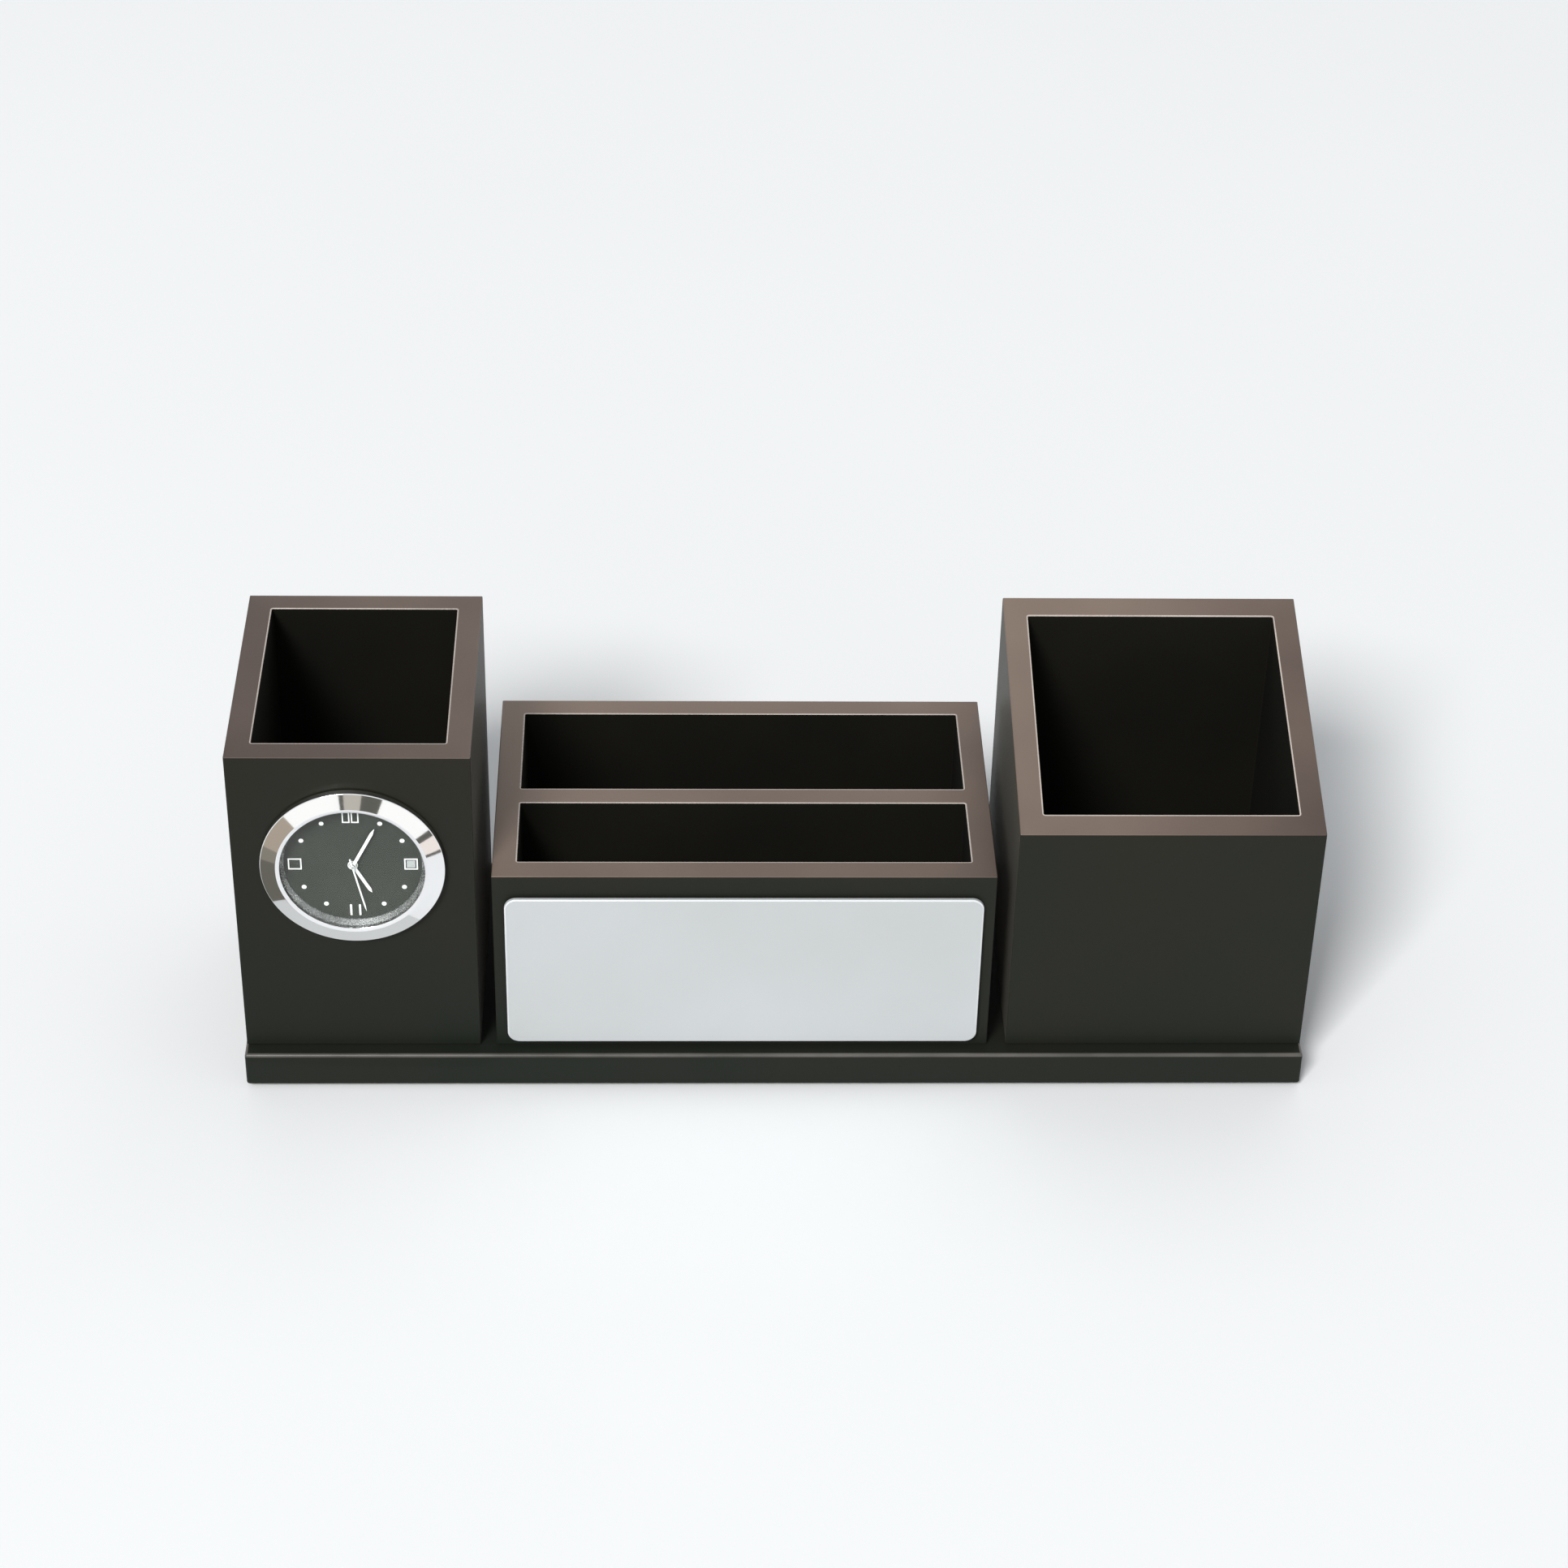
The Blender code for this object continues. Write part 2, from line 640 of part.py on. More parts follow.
def make_divider(lacquer):
    front = FRONT + DIVIDER_SETBACK
    low = (MIDDLE_START + WALL + GLUE_GAP, front, BOX_BOTTOM + FLOOR_THICKNESS + GLUE_GAP)
    top = panel_top(MIDDLE_HEIGHT, MIDDLE_HEIGHT, DEEP)
    high = (MIDDLE_END - WALL - GLUE_GAP, front + DIVIDER_THICKNESS, BASE_TOP + MIDDLE_HEIGHT)
    add_box("middle_box_divider", low, high, lacquer, top=top)


def make_name_plate(aluminium, tape_material):
    width = MIDDLE_END - MIDDLE_START - 2 * PLATE_SIDE_MARGIN
    height = MIDDLE_HEIGHT - PLATE_TOP_MARGIN - PLATE_BOTTOM_MARGIN
    middle = (MIDDLE_START + MIDDLE_END) / 2
    level = BASE_TOP + PLATE_BOTTOM_MARGIN + height / 2
    tape_back = FRONT - RUNNING_GAP
    tape = slab(
        "name_plate_tape",
        [rectangle(width - 2 * TAPE_INSET, height - 2 * TAPE_INSET)],
        TAPE_THICKNESS,
    )
    tape_part = add_part("name_plate_tape", tape, tape_material, (middle, tape_back, level))
    plate_back = tape_back - TAPE_THICKNESS - RUNNING_GAP
    plate = slab(
        "name_plate",
        [rounded_rectangle(width, height, PLATE_CORNER_RADIUS)],
        PLATE_THICKNESS,
    )
    plate_part = add_part("name_plate", plate, aluminium, (middle, plate_back, level))
    for part in (tape_part, plate_part):
        part.rotation_euler = (radians(90), 0, 0)


def cut_clock_hole(panel, axis):
    depth = WALL + 2 * OVERRUN
    mesh = rod("clock_hole", HOLE_RADIUS, depth, FINE_SIDES)
    cutter = add_cutter("clock_hole", mesh, (0, 0, -WALL - OVERRUN), axis)
    combine(panel, cutter, "DIFFERENCE")


def make_boxes(lacquer, inside, taupe, axis):
    left = (LEFT_START, LEFT_END, DEEP - LEFT_REAR_STEP, (LEFT_HEIGHT, LEFT_HEIGHT))
    middle = (MIDDLE_START, MIDDLE_END, DEEP, (MIDDLE_HEIGHT, MIDDLE_HEIGHT))
    right = (RIGHT_START, RIGHT_END, DEEP, (RIGHT_FRONT_HEIGHT, RIGHT_BACK_HEIGHT))
    panels = make_box("left", *left, lacquer, inside)
    cut_clock_hole(panels["front"], axis)
    make_box("middle", *middle, lacquer, inside)
    make_box("right", *right, lacquer, inside)
    make_divider(lacquer)
    for box, shape in (("left", left), ("right", right)):
        make_rim(box, *shape, taupe, [(WALL, shape[2] - WALL)])
    slots = [(WALL, DIVIDER_SETBACK), (DIVIDER_SETBACK + DIVIDER_THICKNESS, DEEP - WALL)]
    make_rim("middle", *middle, taupe, slots)


# Clock case


def make_clock_axis():
    """The clock's frame: its Z points at the reader."""
    axis = bpy.data.objects.new("clock_axis", None)
    PARTS.objects.link(axis)
    height = BASE_TOP + LEFT_HEIGHT - CLOCK_DROP
    axis.location = ((LEFT_START + LEFT_END) / 2, FRONT, height)
    axis.rotation_euler = (radians(90), 0, 0)
    return axis


def make_bezel(chrome, axis):
    crown = OPENING_RADIUS + BEZEL_CROWN_WIDTH
    points = [
        (BEZEL_RADIUS, BEZEL_BACK),
        (BEZEL_RADIUS, BEZEL_BACK + BEZEL_RIM_HEIGHT),
        (crown, BEZEL_FRONT),
        (OPENING_RADIUS, BEZEL_FRONT - BEZEL_LIP * OVERLAP_SHARE),
        (OPENING_RADIUS, BEZEL_FRONT - BEZEL_LIP),
        (POCKET_RADIUS, BEZEL_FRONT - BEZEL_LIP),
        (POCKET_RADIUS, BEZEL_BACK),
    ]
    turned_part("clock_bezel", points, chrome, FINE_SIDES, parent=axis)


def make_crystal(glass, axis):
    points = [
        (0, CRYSTAL_BACK),
        (CRYSTAL_RADIUS, CRYSTAL_BACK),
        (CRYSTAL_RADIUS, CRYSTAL_FRONT - CRYSTAL_CHAMFER),
        (CRYSTAL_RADIUS - CRYSTAL_CHAMFER, CRYSTAL_FRONT),
        (0, CRYSTAL_FRONT),
    ]
    turned_part("clock_crystal", points, glass, ROUND_SIDES, parent=axis)


def make_chapter_ring(silver, axis):
    """The sloping ring between crystal and dial."""
    top, foot = CRYSTAL_BACK - RUNNING_GAP, DIAL_FRONT + RUNNING_GAP
    points = [
        (CRYSTAL_RADIUS, top),
        (CRYSTAL_RADIUS, foot),
        (OPENING_RADIUS - CHAPTER_RING_WIDTH, foot),
        (OPENING_RADIUS, top),
    ]
    turned_part("chapter_ring", points, silver, ROUND_SIDES, parent=axis)


def square_marker(place, width, fill_share=0.0):
    """An outlined square, with a smaller solid one inside where it has a fill."""
    hollow = width - 2 * SQUARE_LINE, SQUARE_SIZE - 2 * SQUARE_LINE
    loops = [rectangle(width, SQUARE_SIZE, place), rectangle(*hollow, place)]
    if fill_share:
        loops.append(rectangle(*(fill_share * side for side in hollow), place))
    return loops


def dial_markers():
    """Two squares at twelve, a filled one at three, two bars at six, one square at nine, and dots."""
    loops = []
    for side in (-1, 1):
        aside = side * PAIR_SPREAD
        loops += square_marker((aside, MARKER_RING), PAIR_WIDTH)
        loops.append(rectangle(BAR_WIDTH, SQUARE_SIZE, (aside, -MARKER_RING)))
    loops += square_marker((MARKER_RING, 0), SQUARE_SIZE, SQUARE_FILL_SHARE)
    loops += square_marker((-MARKER_RING, 0), SQUARE_SIZE)
    for hour in range(12):
        if hour % 3:
            loops.append(circle(DOT_RADIUS, polar(MARKER_RING, 30 * hour), TINY_SIDES))
    return loops


def make_dial(dark, axis):
    loops = [circle(DIAL_RADIUS), circle(HOUR_TUBE_RADIUS + RUNNING_GAP, sides=SMALL_SIDES)]
    mesh = slab("clock_dial", loops, DIAL_THICKNESS)
    dial = add_part("clock_dial", mesh, dark, (0, 0, DIAL_BACK), axis)
    sunk = DIAL_THICKNESS * OVERLAP_SHARE
    markers = slab("dial_markers", dial_markers(), MARKER_RAISE + sunk)
    combine(dial, add_cutter("dial_markers", markers, (0, 0, DIAL_FRONT - sunk), axis), "UNION")


def make_cup(steel, rubber, axis):
    front, back = BEZEL_BACK - RUNNING_GAP, CASE_BACK_BACK
    points = [
        (CUP_RADIUS, front),
        (CUP_RADIUS, back),
        (CUP_BORE, back),
        (CUP_BORE, front),
    ]
    turned_part("clock_cup", points, steel, ROUND_SIDES, parent=axis)
    ring_front = -GRIP_RING_SETBACK
    inner = CUP_RADIUS + PRESS_GAP
    ring = [
        (GRIP_RADIUS, ring_front),
        (GRIP_RADIUS, ring_front - GRIP_RING_WIDTH),
        (inner, ring_front - GRIP_RING_WIDTH),
        (inner, ring_front),
    ]
    turned_part("grip_ring", ring, rubber, ROUND_SIDES, parent=axis)


def make_case_back(plastic, axis):
    loops = [
        circle(MOVEMENT_RADIUS),
        circle(KNOB_RADIUS + SEAT_GAP, SETTING, SMALL_SIDES),
    ]
    mesh = slab("case_back", loops, CASE_BACK_THICKNESS)
    add_part("case_back", mesh, plastic, (0, 0, CASE_BACK_BACK), axis)


# Hands


def hand_outline(length, width, hub, tail=0.0):
    """A pointed baton that points along +Y from a round hub, with a blunt tail."""
    start = radians(90) + width / hub / 2
    end = start + 2 * pi - width / hub
    points = []
    for step in range(SMALL_SIDES + 1):
        angle = start + (end - start) * step / SMALL_SIDES
        points.append((hub * cos(angle), hub * sin(angle)))
    if tail:
        points = [point for point in points if abs(point[0]) > width / 2 or point[1] > 0]
        split = next(i for i, point in enumerate(points) if point[0] > 0 and point[1] < 0)
        points[split:split] = [(-width / 2, -tail), (width / 2, -tail)]
    shoulder = length * HAND_SHOULDER_SHARE
    points += [(width / 2, shoulder), (0, length), (-width / 2, shoulder)]
    return points


def clock_angle(turn_share):
    return -2 * pi * turn_share


def add_hand(name, outline, bore, level, turn_share, material, axis):
    loops = [outline]
    if bore:
        loops.append(circle(bore, sides=SMALL_SIDES))
    mesh = slab(name, loops, HAND_THICKNESS)
    hand = add_part(name, mesh, material, (0, 0, level), axis)
    hand.rotation_euler = (0, 0, clock_angle(turn_share))


def make_hands(white, axis):
    seconds = SECOND
    minutes = MINUTE + seconds / 60
    hours = HOUR + minutes / 60
    hour_bore = HOUR_TUBE_RADIUS + PRESS_GAP
    outline = hand_outline(HOUR_HAND_LENGTH, HOUR_HAND_WIDTH, hour_bore + HAND_HUB_WALL)
    add_hand("hour_hand", outline, hour_bore, HOUR_HAND_LEVEL, hours / 12, white, axis)
    minute_bore = CANNON_RADIUS + PRESS_GAP
    outline = hand_outline(MINUTE_HAND_LENGTH, MINUTE_HAND_WIDTH, minute_bore + HAND_HUB_WALL)
    add_hand("minute_hand", outline, minute_bore, MINUTE_HAND_LEVEL, minutes / 60, white, axis)
    second_bore = ARBOR_RADIUS + PRESS_GAP
    outline = hand_outline(
        SECOND_HAND_LENGTH, SECOND_HAND_WIDTH, second_bore + HAND_HUB_WALL, SECOND_HAND_TAIL
    )
    add_hand("second_hand", outline, second_bore, SECOND_HAND_LEVEL, seconds / 60, white, axis)


# Gears


def gear_outline(teeth, module, phase, pinion=False):
    """Straight-sided teeth, one of them centred on the phase angle. A wheel's gaps end in a V."""
    dedendum = PINION_DEDENDUM_SHARE if pinion else WHEEL_DEDENDUM_SHARE
    tip = (teeth / 2 + ADDENDUM_SHARE) * module
    root = (teeth / 2 - dedendum) * module
    flank = [(tip, -TIP_HALF_SHARE), (tip, TIP_HALF_SHARE)]
    if pinion:
        flank = [(root, -PINION_ROOT_HALF_SHARE), *flank, (root, PINION_ROOT_HALF_SHARE)]
    else:
        flank.append((root, 1 / 2))
    points = []
    for tooth in range(teeth):
        for radius, share in flank:
            angle = phase + (tooth + share) * 2 * pi / teeth
            points.append((radius * cos(angle), radius * sin(angle)))
    return points


def meshed_phase(phase, teeth, other_teeth, direction):
    """The phase at which a gear's gap faces the tooth of its neighbour, which lies in a direction."""
    line = radians(direction)
    return line + pi + pi / other_teeth - (phase - line) * teeth / other_teeth


def joined_gear(name, sections, material, place, axis, bore=0.0):
    """Coaxial solids joined into one piece. sections are (mesh, back level), the first is the body."""
    body, level = sections[0]
    gear = add_part(name, body, material, (*place, level), axis)
    for number, (mesh, back) in enumerate(sections[1:], start=1):
        joined = add_cutter(f"{name}_section_{number}", mesh, (*place, back), axis)
        combine(gear, joined, "UNION")
    if bore:
        depth = SECOND_HAND_LEVEL - BRIDGE_BACK + 2 * OVERRUN
        mesh = rod(f"{name}_bore", bore, depth)
        cutter = add_cutter(f"{name}_bore", mesh, (*place, BRIDGE_BACK - OVERRUN), axis)
        combine(gear, cutter, "DIFFERENCE")
    return gear


def section(name, outline, front, back):
    return slab(name, [outline], front - back), back


def arbor(name, radius, front, back):
    return rod(name, radius, front - back, TINY_SIDES), back


def hand_tip_level(level):
    return level + HAND_THICKNESS + RUNNING_GAP


def make_minute_train(brass, steel, axis):
    """The centre wheel is fixed on the cannon tube, which carries the minute hand."""
    outline = gear_outline(CENTRE_TEETH, MODULE, 0)
    bore = circle(CANNON_RADIUS + PRESS_GAP, sides=SMALL_SIDES)
    mesh = slab("centre_wheel", [outline, bore], WHEEL_THICKNESS)
    add_part("centre_wheel", mesh, brass, (0, 0, CENTRE_BACK), axis)
    pinion = gear_outline(CANNON_TEETH, MOTION_MODULE, 0, pinion=True)
    sections = [
        section("cannon_teeth", pinion, MINUTE_WHEEL_FRONT, MINUTE_WHEEL_BACK),
        (
            rod("cannon_tube", CANNON_RADIUS, hand_tip_level(MINUTE_HAND_LEVEL) - CENTRE_BACK),
            CENTRE_BACK,
        ),
    ]
    joined_gear("cannon_pinion", sections, steel, CENTRE, axis, CANNON_BORE)


def make_hour_wheel(steel, phase, axis):
    outline = gear_outline(HOUR_TEETH, HOUR_MODULE, phase)
    tip = hand_tip_level(HOUR_HAND_LEVEL)
    sections = [
        section("hour_teeth", outline, HOUR_WHEEL_FRONT, HOUR_WHEEL_BACK),
        (rod("hour_tube", HOUR_TUBE_RADIUS, tip - HOUR_WHEEL_BACK), HOUR_WHEEL_BACK),
    ]
    joined_gear("hour_wheel", sections, steel, CENTRE, axis, HOUR_BORE)


def make_minute_wheel(brass, axis):
    """Driven by the cannon pinion, it drives the hour wheel. Its phases give the hour wheel's."""
    phase = meshed_phase(0, CANNON_TEETH, MINUTE_TEETH, MOTION_ANGLE)
    wheel = gear_outline(MINUTE_TEETH, MOTION_MODULE, phase)
    pinion = gear_outline(MINUTE_PINION, HOUR_MODULE, 0, pinion=True)
    sections = [
        section("minute_teeth", wheel, MINUTE_WHEEL_FRONT, MINUTE_WHEEL_BACK),
        section(
            "minute_pinion_teeth",
            pinion,
            HOUR_WHEEL_FRONT,
            MINUTE_WHEEL_BACK + MOTION_WHEEL_THICKNESS * OVERLAP_SHARE,
        ),
        arbor("minute_arbor", ARBOR_RADIUS, MINUTE_WHEEL_FRONT, PLATE_BACK),
    ]
    joined_gear("minute_wheel", sections, brass, MOTION, axis)
    back_line = MOTION_ANGLE + 180
    return phase, meshed_phase(0, MINUTE_PINION, HOUR_TEETH, back_line)


def train_wheel(name, teeth, module, phase, level, pinion, pinion_levels, place, material, axis):
    """A wheel with its pinion and its arbor, which runs from the main plate to the bridge."""
    pinion_teeth, pinion_module, pinion_phase = pinion
    sections = [
        section(
            f"{name}_teeth",
            gear_outline(teeth, module, phase),
            level,
            level - WHEEL_THICKNESS,
        ),
        section(
            f"{name}_pinion",
            gear_outline(pinion_teeth, pinion_module, pinion_phase, pinion=True),
            *pinion_levels,
        ),
        arbor(f"{name}_arbor", ARBOR_RADIUS, PLATE_FRONT, BRIDGE_BACK),
    ]
    joined_gear(name, sections, material, place, axis)


def make_train(brass, steel, axis):
    sunk = WHEEL_THICKNESS * OVERLAP_SHARE
    third_pinion = (
        THIRD_PINION,
        MODULE,
        meshed_phase(0, CENTRE_TEETH, THIRD_PINION, THIRD_ANGLE),
    )
    train_wheel(
        "third_wheel",
        THIRD_TEETH,
        THIRD_MODULE,
        0,
        THIRD_FRONT,
        third_pinion,
        (CENTRE_FRONT, THIRD_FRONT - sunk),
        THIRD,
        brass,
        axis,
    )
    second_pinion = meshed_phase(0, THIRD_TEETH, SECOND_PINION, THIRD_ANGLE + 180)
    sections = [
        section(
            "second_teeth",
            gear_outline(SECOND_TEETH, SECOND_MODULE, 0),
            SECOND_FRONT,
            SECOND_BACK,
        ),
        section(
            "second_pinion",
            gear_outline(SECOND_PINION, THIRD_MODULE, second_pinion, pinion=True),
            THIRD_FRONT + AXIAL_GAP,
            SECOND_FRONT - sunk,
        ),
        arbor("second_arbor", ARBOR_RADIUS, hand_tip_level(SECOND_HAND_LEVEL), BRIDGE_BACK),
    ]
    joined_gear("second_wheel", sections, steel, CENTRE, axis)
    inter_pinion_phase = meshed_phase(
        0, SECOND_TEETH, INTERMEDIATE_PINION, INTERMEDIATE_ANGLE
    )
    train_wheel(
        "intermediate_wheel",
        INTERMEDIATE_TEETH,
        MODULE,
        0,
        INTERMEDIATE_FRONT,
        (INTERMEDIATE_PINION, SECOND_MODULE, inter_pinion_phase),
        (SECOND_FRONT + AXIAL_GAP, INTERMEDIATE_FRONT - sunk),
        INTERMEDIATE,
        brass,
        axis,
    )
    make_rotor(steel, axis)


def make_rotor(steel, axis):
    """A disc magnet with a pinion behind it."""
    phase = meshed_phase(0, INTERMEDIATE_TEETH, ROTOR_PINION, ROTOR_ANGLE)
    pinion = gear_outline(ROTOR_PINION, MODULE, phase, pinion=True)
    sections = [
        (
            rod("rotor_magnet", MAGNET_RADIUS, THIRD_FRONT - SECOND_BACK, SMALL_SIDES),
            SECOND_BACK,
        ),
        section(
            "rotor_pinion",
            pinion,
            SECOND_BACK + AXIAL_GAP,
            INTERMEDIATE_BACK - AXIAL_GAP,
        ),
        arbor("rotor_arbor", ARBOR_RADIUS, PLATE_FRONT, BRIDGE_BACK),
    ]
    joined_gear("rotor", sections, steel, ROTOR, axis)


def make_setting(brass, plastic, minute_phase, axis):
    """The knob at the back turns the minute wheel through a pinion in front of the main plate."""
    phase = meshed_phase(minute_phase, MINUTE_TEETH, SETTING_TEETH, MOTION_ANGLE)
    pinion = gear_outline(SETTING_TEETH, MOTION_MODULE, phase, pinion=True)
    end = CASE_BACK_BACK
    sections = [
        section("setting_teeth", pinion, MINUTE_WHEEL_FRONT, MINUTE_WHEEL_BACK),
        (rod("setting_rod", SETTING_RADIUS, MINUTE_WHEEL_FRONT - end), end),
    ]
    joined_gear("setting_arbor", sections, brass, SETTING, axis)
    outline = []
    for notch in range(2 * KNOB_NOTCHES):
        radius = KNOB_RADIUS if notch % 2 else KNOB_RADIUS - RUNNING_GAP
        outline.append(polar(radius, 180 * notch / KNOB_NOTCHES))
    front = CASE_BACK_FRONT - RUNNING_GAP
    mesh = slab("setting_knob", [outline], front - KNOB_BACK)
    knob = add_part("setting_knob", mesh, plastic, (*SETTING, KNOB_BACK), axis)
    bore = rod("knob_bore", SETTING_RADIUS + PRESS_GAP, front - end + OVERRUN)
    level = end - RUNNING_GAP
    combine(knob, add_cutter("knob_bore", bore, (*SETTING, level), axis), "DIFFERENCE")


# The rest of the movement


def make_plates(brass, plastic, axis):
    hole = ARBOR_RADIUS + RUNNING_GAP
    setting_hole = circle(SETTING_RADIUS + RUNNING_GAP, SETTING, TINY_SIDES)
    pivots = [circle(hole, place, TINY_SIDES) for place in (THIRD, INTERMEDIATE, ROTOR)]
    front_loops = [
        circle(MOVEMENT_RADIUS),
        circle(CANNON_RADIUS + RUNNING_GAP, sides=SMALL_SIDES),
        circle(hole, MOTION, TINY_SIDES),
        setting_hole,
        *pivots,
    ]
    mesh = slab("main_plate", front_loops, MAIN_PLATE_THICKNESS)
    plate = add_part("main_plate", mesh, brass, (0, 0, PLATE_BACK), axis)
    sunk = MAIN_PLATE_THICKNESS * OVERLAP_SHARE
    radius = MOVEMENT_RADIUS * PILLAR_RADIUS_SHARE
    length = PLATE_BACK - BRIDGE_FRONT + sunk - RUNNING_GAP
    for number, degrees in enumerate(PILLAR_ANGLES, start=1):
        place = polar(MOVEMENT_RADIUS * PILLAR_PLACE_SHARE, degrees)
        mesh = rod(f"pillar_{number}", radius, length, TINY_SIDES)
        pillar = add_cutter(f"pillar_{number}", mesh, (*place, BRIDGE_FRONT + RUNNING_GAP), axis)
        combine(plate, pillar, "UNION")
    back_loops = [
        circle(MOVEMENT_RADIUS * BRIDGE_RADIUS_SHARE),
        circle(BATTERY_RADIUS * BATTERY_WELL_SHARE, BATTERY, SMALL_SIDES),
        circle(hole, sides=TINY_SIDES),
        setting_hole,
        *pivots,
    ]
    mesh = slab("train_bridge", back_loops, BRIDGE_THICKNESS)
    add_part("train_bridge", mesh, plastic, (0, 0, BRIDGE_BACK), axis)


def make_spacer(plastic, axis):
    """Carries the dial on the main plate, round the motion work."""
    loops = [circle(MOVEMENT_RADIUS), circle(MOVEMENT_RADIUS - SPACER_WIDTH)]
    thickness = DIAL_BACK - PLATE_FRONT - 2 * RUNNING_GAP
    mesh = slab("dial_spacer", loops, thickness)
    add_part("dial_spacer", mesh, plastic, (0, 0, PLATE_FRONT + RUNNING_GAP), axis)


def make_power(steel, silver, axis):
    mesh = rod("battery", BATTERY_RADIUS, BATTERY_HEIGHT, SMALL_SIDES)
    add_part("battery", mesh, silver, (*BATTERY, BATTERY_BACK), axis)
    strip = rectangle(BATTERY_RADIUS * CONTACT_LENGTH_SHARE, CONTACT_WIDTH)
    mesh = slab("battery_contact", [strip], CONTACT_THICKNESS)
    add_part("battery_contact", mesh, steel, (*BATTERY, CONTACT_BACK), axis)


def make_electronics(green, copper, steel, axis):
    width, height = shared_place(BOARD_SIZE_SHARES)
    board_back = CENTRE_FRONT - BOARD_THICKNESS
    mesh = slab("circuit_board", [rectangle(width, height)], BOARD_THICKNESS)
    board = add_part("circuit_board", mesh, green, (*BOARD, board_back), axis)
    chip_size = MOVEMENT_RADIUS * CHIP_SIZE_SHARE
    sunk = BOARD_THICKNESS * OVERLAP_SHARE
    chip = slab("chip", [rectangle(chip_size, chip_size)], CHIP_HEIGHT + sunk)
    chip_place = (BOARD[0], BOARD[1] - MOVEMENT_RADIUS * CHIP_PLACE_SHARE)
    chip_cutter = add_cutter("chip", chip, (*chip_place, board_back - CHIP_HEIGHT), axis)
    combine(board, chip_cutter, "UNION")
    radius = MOVEMENT_RADIUS * QUARTZ_RADIUS_SHARE
    length = MOVEMENT_RADIUS * QUARTZ_LENGTH_SHARE
    mesh = rod("quartz_can", radius, length, TINY_SIDES)
    level = board_back - RUNNING_GAP - radius
    foot = BOARD[1] - MOVEMENT_RADIUS * CHIP_PLACE_SHARE + chip_size / 2 + RUNNING_GAP
    can = add_part("quartz_can", mesh, steel, (BOARD[0], foot, level), axis)
    can.rotation_euler = (radians(-90), 0, 0)
    make_motor(copper, steel, axis)


def make_motor(copper, steel, axis):
    """The coil lies across the top of the stator, whose hole surrounds the rotor's magnet."""
    level = (THIRD_FRONT + SECOND_BACK) / 2
    length = MOVEMENT_RADIUS * COIL_LENGTH_SHARE
    mesh = rod("coil", COIL_RADIUS, length)
    coil = add_part("coil", mesh, copper, (COIL[0] - length / 2, COIL[1], level), axis)
    coil.rotation_euler = (0, radians(90), 0)
    margin = MOVEMENT_RADIUS * STATOR_MARGIN_SHARE
    left, right = ROTOR[0] - MAGNET_RADIUS - margin, ROTOR[0] + MAGNET_RADIUS + margin
    top = COIL[1] - COIL_RADIUS - RUNNING_GAP
    foot = ROTOR[1] - MAGNET_RADIUS - margin
    outline = [(left, foot), (right, foot), (right, top), (left, top)]
    loops = [outline, circle(MAGNET_RADIUS + RUNNING_GAP, ROTOR, SMALL_SIDES)]
    mesh = slab("stator", loops, STATOR_THICKNESS)
    add_part("stator", mesh, steel, (0, 0, level - STATOR_THICKNESS / 2), axis)


def make_movement(materials, axis):
    brass, steel, plastic = materials["brass"], materials["steel"], materials["plastic"]
    make_plates(brass, plastic, axis)
    make_spacer(plastic, axis)
    make_minute_train(brass, steel, axis)
    minute_phase, hour_phase = make_minute_wheel(brass, axis)
    make_hour_wheel(steel, hour_phase, axis)
    make_train(brass, steel, axis)
    make_setting(brass, plastic, minute_phase, axis)
    make_power(steel, materials["silver"], axis)
    make_electronics(materials["board"], materials["copper"], steel, axis)


def main():
    lacquer = new_material("charcoal_lacquer", LACQUER, 0.45)
    inside = new_material("black_lining", INSIDE, 0.8)
    taupe = new_material("taupe_edging", TAUPE, 0.45)
    felt = new_material("black_felt", INSIDE, 1.0)
    tape = new_material("adhesive_tape", WHITE, 0.7)
    aluminium = new_material("brushed_plate", SILVER, 0.35, 0.6)
    chrome = new_material("chrome", SILVER, 0.08, 1.0)
    glass = new_material("crystal", WHITE, 0.02, transmission=1.0)
    dark = new_material("dial", DIAL_GREY, 0.5)
    white = new_material("white_hands", WHITE, 0.4)
    rubber = new_material("rubber", INSIDE, 0.9)
    materials = {
        "brass": new_material("brass", BRASS, 0.3, 1.0),
        "steel": new_material("steel", STEEL, 0.3, 1.0),
        "silver": new_material("silver", SILVER, 0.3, 1.0),
        "plastic": new_material("black_plastic", INSIDE, 0.5),
        "copper": new_material("copper", COPPER, 0.35, 1.0),
        "board": new_material("green_board", BOARD_GREEN, 0.5),
    }
    axis = make_clock_axis()
    make_base(lacquer, felt)
    make_screws(materials["steel"])
    make_boxes(lacquer, inside, taupe, axis)
    make_name_plate(aluminium, tape)
    make_bezel(chrome, axis)
    make_crystal(glass, axis)
    make_chapter_ring(materials["silver"], axis)
    make_dial(dark, axis)
    make_cup(materials["steel"], rubber, axis)
    make_case_back(materials["plastic"], axis)
    make_hands(white, axis)
    make_movement(materials, axis)


main()
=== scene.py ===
"""The looks of a desk organiser with a push-in clock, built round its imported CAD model.

Metres, +Z up, the front faces -Y. Clock pieces are modelled in the clock's own frame: X to the
right, Y towards twelve o'clock and Z out towards the reader, from the left box's front face.
"""

import json
from math import atan2, cos, pi, radians, sin

import bmesh
import bpy
from mathutils import Matrix, Vector
from mathutils.geometry import tessellate_polygon


